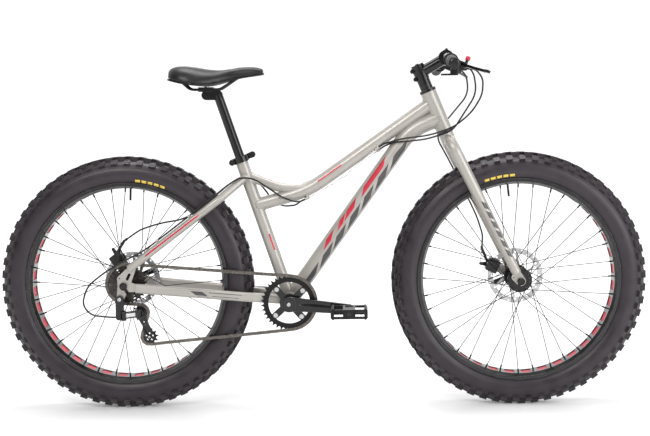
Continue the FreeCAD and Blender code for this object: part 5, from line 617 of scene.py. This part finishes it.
def side_span(name, run, along, window, side):
    """The lowest and highest point of a tube's side view at one place along it."""
    found = []
    for i in range(SPAN_STEPS + 1):
        other = window[0] + (window[1] - window[0]) * i / SPAN_STEPS
        x, z = (run, other) if along == "x" else (other, run)
        if cast(name, x, z, side)[0] is not None:
            found.append(other)
    return min(found), max(found)


def tube_spot(node_name, along, runs, shares, window, side, slant):
    """Places on a tube's side, between two places along it and two shares of its side view's height."""
    def spot(along_share, up_share):
        share = shares[0] + (shares[1] - shares[0]) * up_share
        run = runs[0] + (runs[1] - runs[0]) * along_share + slant * up_share
        low, high = side_span(node_name, run, along, window(run), side)
        other = low + (high - low) * share
        return (run, other) if along == "x" else (other, run)

    return spot


def wheel_spot(axle, angles, radii):
    """Places on a tyre's side, between two angles and two radii."""
    def spot(along_share, up_share):
        angle = math.radians(angles[0] + (angles[1] - angles[0]) * along_share)
        radius = radii[0] + (radii[1] - radii[0]) * up_share
        return axle.x + radius * math.cos(angle), axle.z + radius * math.sin(angle)

    return spot


def box_spot(across, up):
    """Places in an upright rectangle, between two values of X and two of Z."""
    def spot(along_share, up_share):
        return across[0] + (across[1] - across[0]) * along_share, up[0] + (up[1] - up[0]) * up_share

    return spot


def film(name, node_name, spot, side, material, body, columns=14, rows=4):
    """A thin closed film on a node's side that follows its surface."""
    front = []
    back = []
    for column in range(columns + 1):
        for row in range(rows + 1):
            hit, normal = cast(node_name, *spot(column / columns, row / rows), side)
            front.append(hit + normal * FILM_LIFT)
            back.append(hit - normal * FILM_LIFT)
    width = rows + 1
    count = len(front)
    faces = []
    for column in range(columns):
        for row in range(rows):
            a = column * width + row
            quad = (a, a + width, a + width + 1, a + 1)
            faces.append(quad)
            faces.append(tuple(count + i for i in reversed(quad)))
    rim = list(range(width))
    rim += [column * width + rows for column in range(1, columns + 1)]
    rim += [columns * width + row for row in range(rows - 1, -1, -1)]
    rim += [column * width for column in range(columns - 1, 0, -1)]
    for a, b in zip(rim, rim[1:] + rim[:1]):
        faces.append((a, b, count + b, count + a))
    piece = add_mesh(name, front + back, faces, M[material], body)
    face_outwards(piece)


def line_window(a, b, margin):
    """A window round a slanted line, for the places along it."""
    def window(run):
        middle = a[1] + (b[1] - a[1]) * (run - a[0]) / (b[0] - a[0])
        return middle - margin, middle + margin

    return window


LINK_PANEL = ((-0.552, -0.528), (0.2745, 0.2862))


def link_panel():
    """The bright panel on the derailleur's outer link."""
    link = "derailleur_outer_link"
    film("derailleur_panel", link, box_spot(*LINK_PANEL), -1, "steel", link)


DOWN_RED_RUNS = ((0.004, 0.026), (0.043, 0.060), (0.064, 0.092), (0.113, 0.176))
DOWN_DARK_RUNS = ((-0.060, -0.020), (-0.008, 0.022), (0.031, 0.060), (0.072, 0.101), (0.112, 0.139),
                  (0.152, 0.182), (0.196, 0.238))
FORK_BLOCKS = 6
FORK_BLOCK_TOP = 0.590
FORK_BLOCK_STEP = 0.027
FORK_BLOCK_LENGTH = 0.019
# A wheel, its axle, the angle of its first mark and the marks' radii
TYRE_MARKS = (("rear", REAR_AXLE, 67.1, (0.292, 0.2995)), ("front", FRONT_AXLE, 92.5, (0.294, 0.3015)))
MARKS = 5
MARK_STEP = 3.5
MARK_SPAN = 2.7


def tube_stripes():
    """Rows of a name, a tube, the axis along it, two places along it, two shares of its height, a window,
    a colour and a slant."""
    down = line_window((-0.0942, 0.307), (0.2549, 0.788), 0.055)
    top = line_window((-0.0124, 0.633), (0.0565, 0.680), 0.05)
    seat = line_window((0.307, -0.0942), (0.698, -0.225), 0.03)
    stay = line_window((-0.543, 0.410), (-0.292, 0.598), 0.022)
    chain = line_window((-0.40, 0.345), (-0.20, 0.325), 0.045)
    blade = line_window((0.758, 0.3635), (0.362, 0.559), 0.026)
    rows = [
        ("top_tube_red", "top_tube", "x", (-0.010, 0.058), (0.60, 0.70), top, "red", 0.0),
        ("seat_tube_red", "seat_tube", "z", (0.452, 0.498), (0.62, 0.76), seat, "red", 0.0),
        ("seatstay_red", "seatstays", "x", (-0.495, -0.345), (0.46, 0.66), stay, "red", 0.0),
        ("chainstay_dark", "chainstays", "x", (-0.352, -0.318), (0.20, 0.88), chain, "dark", -0.026),
        ("chainstay_line_low", "chainstays", "x", (-0.312, -0.236), (0.30, 0.36), chain, "dark", 0.0),
        ("chainstay_line_high", "chainstays", "x", (-0.320, -0.228), (0.66, 0.72), chain, "dark", 0.0),
    ]
    for i, runs in enumerate(DOWN_RED_RUNS):
        rows.append((f"down_tube_red_{i}", "down_tube", "x", runs, (0.58, 0.84), down, "red", 0.008))
    for i, runs in enumerate(DOWN_DARK_RUNS):
        rows.append((f"down_tube_dark_{i}", "down_tube", "x", runs, (0.12, 0.44), down, "dark", 0.010))
    for i in range(FORK_BLOCKS):
        start = FORK_BLOCK_TOP - FORK_BLOCK_STEP * i
        runs = (start - FORK_BLOCK_LENGTH, start)
        rows.append((f"fork_dark_{i}", "fork", "z", runs, (0.50, 0.82), blade, "dark", -0.006))
    return rows


def paint_stripes():
    """Plain coloured dashes and blocks on both sides of the frame, the fork and the tyres."""
    rows = tube_stripes()
    for hand, side in HANDS:
        for name, tube, along, runs, shares, window, colour, slant in rows:
            body = "steering" if tube == "fork" else "frame"
            spot = tube_spot(tube, along, runs, shares, window, side, slant)
            film(f"{name}_{hand}", tube, spot, side, colour, body)
        for i in range(MARKS):
            for wheel, axle, first, radii in TYRE_MARKS:
                turn = first + MARK_STEP * i
                spot = wheel_spot(axle, (turn, turn + MARK_SPAN), radii)
                film(f"{wheel}_tyre_mark_{i}_{hand}", f"{wheel}_tyre", spot, side, "yellow", f"{wheel}_wheel",
                     columns=6, rows=3)


# Small turned fittings
ROUND, RIDGED, SIX_SIDED = range(3)
KNURL_DEPTH = 0.0003
KNOB_FOOT = Vector((0.3965, -0.192, 0.9695))
KNOB_AXIS = Vector((0.375, 0.0, 0.927)).normalized()
KNOB_NECK = 0.008
# How far a fitting's foot goes into what carries it
SINK = 0.0004
# Angles in degrees over which an edge stays sharp
TURNED_SHARP = 35
SPINE_SHARP = 8
PIERCED_SHARP = 30


def turned(name, foot, axis, profile, material, body):
    """A turned piece on a foot. A row of its profile is a radius, a rise and the shape of that ring."""
    across = axis.orthogonal().normalized()
    other = axis.cross(across)
    turns = 48
    points = []
    for radius, rise, shape in profile:
        for i in range(turns):
            angle = 2 * math.pi * i / turns
            reach = radius
            if shape == RIDGED:
                reach -= KNURL_DEPTH * (i % 2)
            if shape == SIX_SIDED:
                reach /= math.cos(angle % (math.pi / 3) - math.pi / 6)
            points.append(foot + axis * rise + (across * math.cos(angle) + other * math.sin(angle)) * reach)
    faces = []
    for ring in range(len(profile) - 1):
        for i in range(turns):
            a = ring * turns + i
            b = ring * turns + (i + 1) % turns
            faces.append((a, b, b + turns, a + turns))
    piece = add_mesh(name, points, faces, material, body)
    face_outwards(piece, joined=True)
    piece.data.set_sharp_from_angle(angle=math.radians(TURNED_SHARP))
    return piece


def red_knob():
    """The knurled red adjuster that stands on the right brake perch, on a short black neck."""
    profile = [(0.0, 0.0, ROUND), (0.0042, 0.0, ROUND), (0.0042, 0.0075, ROUND), (0.0060, 0.0085, ROUND),
               (0.0066, 0.0105, RIDGED), (0.0066, 0.0165, RIDGED), (0.0058, 0.0188, ROUND),
               (0.0030, 0.0200, ROUND), (0.0, 0.0202, ROUND)]
    piece = turned("red_adjuster", KNOB_FOOT, KNOB_AXIS, profile, M["red"], "steering")
    piece.data.materials.append(M["enamel"])
    for face in piece.data.polygons:
        if (face.center - KNOB_FOOT).dot(KNOB_AXIS) < KNOB_NECK:
            face.material_index = 1


def bolt(name, node_name, place, side, radius):
    """A socket bolt's head, set on a node's side."""
    foot, _ = cast(node_name, *place, side)
    body = body_of(NODES[node_name])[0]
    height = 0.6 * radius
    bevel = 0.15 * radius
    socket = 0.5 * radius
    bottom = 0.15 * radius
    profile = [(0.0, -SINK, ROUND), (radius, -SINK, ROUND), (radius, height - bevel, ROUND),
               (radius - bevel, height, ROUND), (socket, height, SIX_SIDED), (socket, bottom, SIX_SIDED),
               (0.0, bottom, ROUND)]
    turned(name, foot, Vector((0, side, 0)), profile, M["steel"], body)


# The bar's direction at its left end, mirrored at its right end
GRIP_RUN = (-0.004, 0.280, -0.027)
GRIP_FACE_DEPTH = 0.0004


def grip_plugs():
    """The ringed plugs that close the grips' ends."""
    profile = [(0.0, -SINK, ROUND), (0.0122, -SINK, ROUND), (0.0122, 0.0008, ROUND),
               (0.0108, 0.0016, ROUND), (0.0098, 0.0008, ROUND), (0.0078, 0.0008, ROUND),
               (0.0068, 0.0017, ROUND), (0.0, 0.0021, ROUND)]
    back, out, down = GRIP_RUN
    points = [v.co for v in NODES["grips"].data.vertices]
    for hand, side in HANDS:
        axis = Vector((back, side * out, down)).normalized()
        end = max(point.dot(axis) for point in points)
        face = [point for point in points if point.dot(axis) > end - GRIP_FACE_DEPTH]
        middle = sum(face, Vector()) / len(face)
        turned(f"grip_plug_{hand}", middle, axis, profile, M["enamel"], "steering")


CRANK_FACE = 0.097
SPINE_SINK = 0.0003
SPINE_STATIONS = 24
SPINE_START = 0.17
SPINE_LENGTH = 0.63
SPINE_HALF = 0.0088
SPINE_HEIGHT = 0.0024
SPINE_TAPER = 0.3
CREST_DROP = 0.15


def crank_spine(hand, side):
    """A low ridge along a crank's outer face, pointed at both ends."""
    x, z = PEDAL_AXLE[hand]
    ahead = Vector((x - BB.x, 0, z - BB.z))
    up = Vector((-ahead.z, 0, ahead.x)).normalized()
    if up.z < 0:
        up.negate()
    points = []
    for i in range(SPINE_STATIONS + 1):
        share = i / SPINE_STATIONS
        fullness = math.sqrt(max(math.sin(math.pi * share), 0.0))
        half = SPINE_HALF * fullness * (1 - SPINE_TAPER * share)
        middle = BB + ahead * (SPINE_START + SPINE_LENGTH * share)
        base = Vector((0, side * (CRANK_FACE - SPINE_SINK), 0))
        crest = Vector((0, side * (CRANK_FACE + SPINE_HEIGHT * fullness), 0))
        points.append(middle + up * half + base)
        points.append(middle - up * (CREST_DROP * half) + crest)
        points.append(middle - up * half + base)
    faces = []
    for i in range(SPINE_STATIONS):
        for k in range(3):
            a = 3 * i + k
            b = 3 * i + (k + 1) % 3
            faces.append((a, b, b + 3, a + 3))
    piece = add_mesh(f"crank_spine_{hand}", points, faces, M["enamel"], "crank")
    face_outwards(piece, joined=True)
    piece.data.set_sharp_from_angle(angle=math.radians(SPINE_SHARP))


CRANK_BOLT_RADIUS = 0.0055


def fit_cranks():
    for hand, side in HANDS:
        crank_spine(hand, side)
        bolt(f"crank_bolt_{hand}", f"crank_{hand}", (BB.x, BB.z), side, CRANK_BOLT_RADIUS)


def fit_bolts():
    """Bolt heads at places in X and Z, on the right or the left side, with their radii."""
    bolt("hanger_bolt", "derailleur_knuckle", (REAR_AXLE.x - 0.011, REAR_AXLE.z - 0.036), -1, 0.0055)
    bolt("tension_pulley_bolt", "derailleur_cage", TENSION_AXLE, -1, 0.0032)
    bolt("front_caliper_pin_bolt", "front_caliper", (0.4947, 0.3920), 1, 0.0036)
    bolt("rear_caliper_pin_bolt", "rear_caliper", (-0.6007, 0.4194), 1, 0.0036)


# Weld beads where the tubes meet
BEAD_STATIONS = 240
BEAD_SIDES = 8
BEAD_SIZE = 0.0019
BEAD_RIPPLE = 0.0003
RIPPLE_STATIONS = 5


def bead(name, foot, ahead, radius, base, axis, wall):
    """A rippled bead along the line where a round tube meets another round tube, the wall's radius away
    from that tube's axis."""
    foot = Vector(foot)
    ahead = Vector(ahead).normalized()
    base = Vector(base)
    axis = Vector(axis).normalized()
    across = axis.cross(ahead).normalized()
    up = ahead.cross(across).normalized()
    path = []
    count = BEAD_STATIONS
    sides = BEAD_SIDES
    for i in range(count):
        angle = math.radians(360.0 * i / count)
        point = foot + (across * math.cos(angle) + up * math.sin(angle)) * radius - base
        flat = point - axis * point.dot(axis)
        run = ahead - axis * ahead.dot(axis)
        a = run.dot(run)
        b = flat.dot(run)
        c = flat.dot(flat) - wall * wall
        path.append(base + point + ahead * ((math.sqrt(max(b * b - a * c, 0.0)) - b) / a))
    points = []
    for i in range(count):
        tangent = (path[(i + 1) % count] - path[i - 1]).normalized()
        out = tangent.cross(ahead).normalized()
        lift = tangent.cross(out)
        size = BEAD_SIZE + BEAD_RIPPLE * math.cos(2 * math.pi * i / RIPPLE_STATIONS)
        for k in range(sides):
            turn = 2 * math.pi * k / sides
            points.append(path[i] + (out * math.cos(turn) + lift * math.sin(turn)) * size)
    faces = []
    for i in range(count):
        for k in range(sides):
            a = i * sides + k
            b = i * sides + (k + 1) % sides
            c = ((i + 1) % count) * sides + k
            d = ((i + 1) % count) * sides + (k + 1) % sides
            faces.append((a, c, d, b))
    add_mesh(name, points, faces, M["paint"], "frame")


def weld_frame():
    """Each tube's foot, direction and radius, and the point, axis and radius of the tube that it meets."""
    head = ((0.3562, 0.0, 0.7759), (-0.38268, 0.0, 0.92388), 0.0225)
    seat = ((-0.0942, 0.0, 0.307), (-0.3173, 0.0, 0.9483), 0.0175)
    shell = ((-0.0942, 0.0, 0.307), (0.0, 1.0, 0.0), 0.022)
    bead("weld_top_tube_head", (0.3183, 0.0, 0.8674), (-0.8212, 0.0, -0.5706), 0.019, *head)
    bead("weld_down_tube_head", (0.3371, 0.0, 0.8221), (-0.9237, 0.0, -0.3832), 0.0235, *head)
    bead("weld_top_tube_seat", (-0.1856, 0.0, 0.5801), (0.9664, 0.0, 0.2568), 0.019, *seat)
    bead("weld_brace_seat", (-0.2141, 0.0, 0.6655), (0.931, 0.0, -0.364), 0.0135, *seat)
    bead("weld_seat_tube_shell", (-0.0942, 0.0, 0.307), (-0.3173, 0.0, 0.9483), 0.0175, *shell)
    bead("weld_down_tube_shell", (-0.0942, 0.0, 0.307), (0.5874, 0.0, 0.8093), 0.0235, *shell)


# Saddle: the CAD pad's form, swollen a little as stuffed cloth, with a pressed channel
PAD_DOUBLED = 0.00002
PAD_SHARES = (0.985, 0.955, 0.95)
PAD_VOXEL = 0.0045
SWELL_REACH = 0.006
SWELL_FRAMES = 20
UNDERSIDE = -0.25
UPPER_SIDE = 0.2
CHANNEL_START = 0.12
CHANNEL_LENGTH = 0.62
CHANNEL_DEPTH = 0.0032
CHANNEL_WIDTH = 0.009


def mesh_of(piece):
    """The mesh of a piece with its modifiers applied."""
    bpy.context.view_layer.update()
    done = piece.evaluated_get(bpy.context.evaluated_depsgraph_get())
    return bpy.data.meshes.new_from_object(done)


def swell(piece, reach):
    """Inflates a closed piece as cloth and keeps each point within reach of where it started."""
    start = [v.co.copy() for v in piece.data.vertices]
    group = piece.vertex_groups.new(name="held")
    held = [v.index for v in piece.data.vertices if v.normal.z < UNDERSIDE]
    group.add(held, 1.0, "REPLACE")
    cloth = piece.modifiers.new("cloth", "CLOTH")
    cloth.settings.quality = 6
    cloth.settings.mass = 0.3
    cloth.settings.use_pressure = True
    cloth.settings.uniform_pressure_force = 4.0
    cloth.settings.effector_weights.gravity = 0.0
    cloth.settings.vertex_group_mass = "held"
    cloth.point_cache.frame_start = 1
    cloth.point_cache.frame_end = SWELL_FRAMES
    for moment in range(1, SWELL_FRAMES + 1):
        bpy.context.scene.frame_set(moment)
    swollen = [v.co.copy() for v in mesh_of(piece).vertices]
    piece.modifiers.remove(cloth)
    piece.vertex_groups.clear()
    bpy.context.scene.frame_set(1)
    for vertex, before, after in zip(piece.data.vertices, start, swollen):
        step = after - before
        if step.length > reach:
            step *= reach / step.length
        vertex.co = before + step


def press_channel(mesh, low, high):
    """Presses a shallow channel along the middle of the saddle's top, fading out at both ends."""
    for vertex in mesh.vertices:
        if vertex.normal.z > UPPER_SIDE:
            share = (vertex.co.x - low.x) / (high.x - low.x)
            along = min(max((share - CHANNEL_START) / CHANNEL_LENGTH, 0.0), 1.0)
            depth = CHANNEL_DEPTH * max(0.0, math.sin(math.pi * along))
            vertex.co.z -= depth * math.exp(-(vertex.co.y / CHANNEL_WIDTH) ** 2)


def make_saddle():
    """The padded cover, from the CAD pad made a little smaller."""
    low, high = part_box("saddle_pad")
    shape = bmesh.new()
    shape.from_mesh(NODES["saddle_pad"].data)
    bmesh.ops.remove_doubles(shape, verts=shape.verts, dist=PAD_DOUBLED)
    anchor = Vector(((low.x + high.x) / 2, 0.0, low.z))
    length, width, height = PAD_SHARES
    for vertex in shape.verts:
        away = vertex.co - anchor
        vertex.co = anchor + Vector((away.x * length, away.y * width, away.z * height))
    mesh = bpy.data.meshes.new("saddle_cover")
    shape.to_mesh(mesh)
    shape.free()
    piece = put("saddle_cover", mesh)
    remesh = piece.modifiers.new("remesh", "REMESH")
    remesh.mode = "VOXEL"
    remesh.voxel_size = PAD_VOXEL
    piece.data = mesh_of(piece)
    piece.modifiers.clear()
    swell(piece, SWELL_REACH)
    press_channel(piece.data, low, high)
    piece.data.materials.append(M["cover"])
    smooth(piece.data)
    finer = piece.modifiers.new("subdivision", "SUBSURF")
    finer.levels = 1
    finer.render_levels = 1
    piece.data = mesh_of(piece)
    piece.modifiers.clear()
    smooth(piece.data)
    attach(piece, "seat")
    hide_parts("saddle_pad")


# The derailleur's cage and lower pulley, pierced as the real ones are
RING_HOLES = 5
HOLE_CIRCLE = 0.0098
HOLE_RADIUS = 0.0030
WAIST_SHARES = (0.40, 0.52)
CUT_Y = (-0.2, 0.0)


def cage_holes():
    """A ring of holes round the lower pulley's axle, and two in the cage's waist."""
    x, z = TENSION_AXLE
    ring = []
    for i in range(RING_HOLES):
        turn = math.radians(90 + 360 * i / RING_HOLES)
        ring.append((x + HOLE_CIRCLE * math.cos(turn), z + HOLE_CIRCLE * math.sin(turn)))
    waist = []
    for share in WAIST_SHARES:
        waist.append(tuple(a + (b - a) * share for a, b in zip(GUIDE_AXLE, TENSION_AXLE)))
    return ring, waist


def hole_cutter(holes, radius):
    """Round rods along Y at the holes' places."""
    sides = 24
    points = []
    faces = []
    for x, z in holes:
        first = len(points)
        for y in CUT_Y:
            for i in range(sides):
                angle = 2 * math.pi * i / sides
                points.append((x + radius * math.cos(angle), y, z + radius * math.sin(angle)))
        for i in range(sides):
            a = first + i
            b = first + (i + 1) % sides
            faces.append((a, b, b + sides, a + sides))
        faces.append(tuple(range(first + sides - 1, first - 1, -1)))
        faces.append(tuple(range(first + sides, first + 2 * sides)))
    mesh = bpy.data.meshes.new("hole_cutter")
    mesh.from_pydata(points, [], faces)
    cutter = put("hole_cutter", mesh)
    face_outwards(cutter, joined=True)
    return cutter


def pierced(name, node_name, holes, radius):
    """A CAD node's form with holes through it, which stands for the node."""
    piece = put(name, NODES[node_name].data.copy())
    face_outwards(piece, joined=True)
    cutter = hole_cutter(holes, radius)
    cut = piece.modifiers.new("holes", "BOOLEAN")
    cut.operation = "DIFFERENCE"
    cut.solver = "EXACT"
    cut.object = cutter
    piece.data = mesh_of(piece)
    piece.modifiers.clear()
    bpy.data.objects.remove(cutter, do_unlink=True)
    piece.data.set_sharp_from_angle(angle=math.radians(PIERCED_SHARP))
    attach(piece, body_of(NODES[node_name])[0])
    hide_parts(node_name)


def pierce_cage():
    ring, waist = cage_holes()
    pierced("pierced_cage", "derailleur_cage", ring + waist, HOLE_RADIUS)
    pierced("pierced_pulley", "tension_pulley", ring, HOLE_RADIUS)


# Below the first point the cables stay with the frame, and above the second they go with the bar
CABLE_STOP = (0.400, -0.060, 0.765)
CABLE_LEVER = (0.400, -0.060, 0.945)


def bend_cables():
    """The cables in front of the head tube, which bend between the frame and the bar as it turns."""
    piece = put("bent_cables", NODES["front_cables"].data.copy())
    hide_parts("front_cables")
    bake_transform(piece, "frame", "steering", start=CABLE_STOP, end=CABLE_LEVER)


# The studio's sheet: its reach and its bend's radius, and its glow's two strengths and their distances
FLOOR_REACH = 40.0
FLOOR_BEND = 8.0
GLOW = (0.13, 0.65)
GLOW_REACH = (0.6, 3.6)


def lay_floor():
    """A white sheet that lies under the bicycle and rises in a wide curve far behind it.

    It glows a little, more so away from the bicycle, so that the ground goes over into plain white.
    """
    profile = [(-FLOOR_REACH, 0.0), (FLOOR_BEND, 0.0)]
    for turn in range(6, 91, 6):
        angle = math.radians(turn)
        profile.append((FLOOR_BEND + FLOOR_BEND * math.sin(angle), FLOOR_BEND - FLOOR_BEND * math.cos(angle)))
    profile.append((2 * FLOOR_BEND, FLOOR_REACH))
    points = [(x, y, z) for y, z in profile for x in (-FLOOR_REACH, FLOOR_REACH)]
    faces = [(2 * i, 2 * i + 1, 2 * i + 3, 2 * i + 2) for i in range(len(profile) - 1)]
    mesh = bpy.data.meshes.new("floor")
    mesh.from_pydata(points, [], faces)
    sheet = finish(
        "studio_sheet", (0.75, 0.75, 0.75), (0.78, 0.78, 0.78), 1.5, (0.55, 0.65), (80.0, 0.0002, 0.1),
        Emission_Color=(1.0, 1.0, 1.0, 1.0))
    tree = sheet.node_tree
    away = node(tree, "VectorMath", operation="LENGTH")
    tree.links.new(placed_coordinates(tree, stretch=(1, 1, 0)), away.inputs[0])
    glow = range_from(tree, away.outputs["Value"], *GLOW, *GLOW_REACH)
    tree.links.new(glow, tree.nodes["Principled BSDF"].inputs["Emission Strength"])
    mesh.materials.append(sheet)
    smooth(mesh)
    put("floor", mesh)


set_camera()
set_studio()
M.update(make_materials())
lay_floor()
dress_frame()
dress_wheels()
dress_drive()
paint_stripes()
link_panel()
red_knob()
fit_bolts()
fit_cranks()
grip_plugs()
weld_frame()
pierce_cage()
bend_cables()
make_saddle()
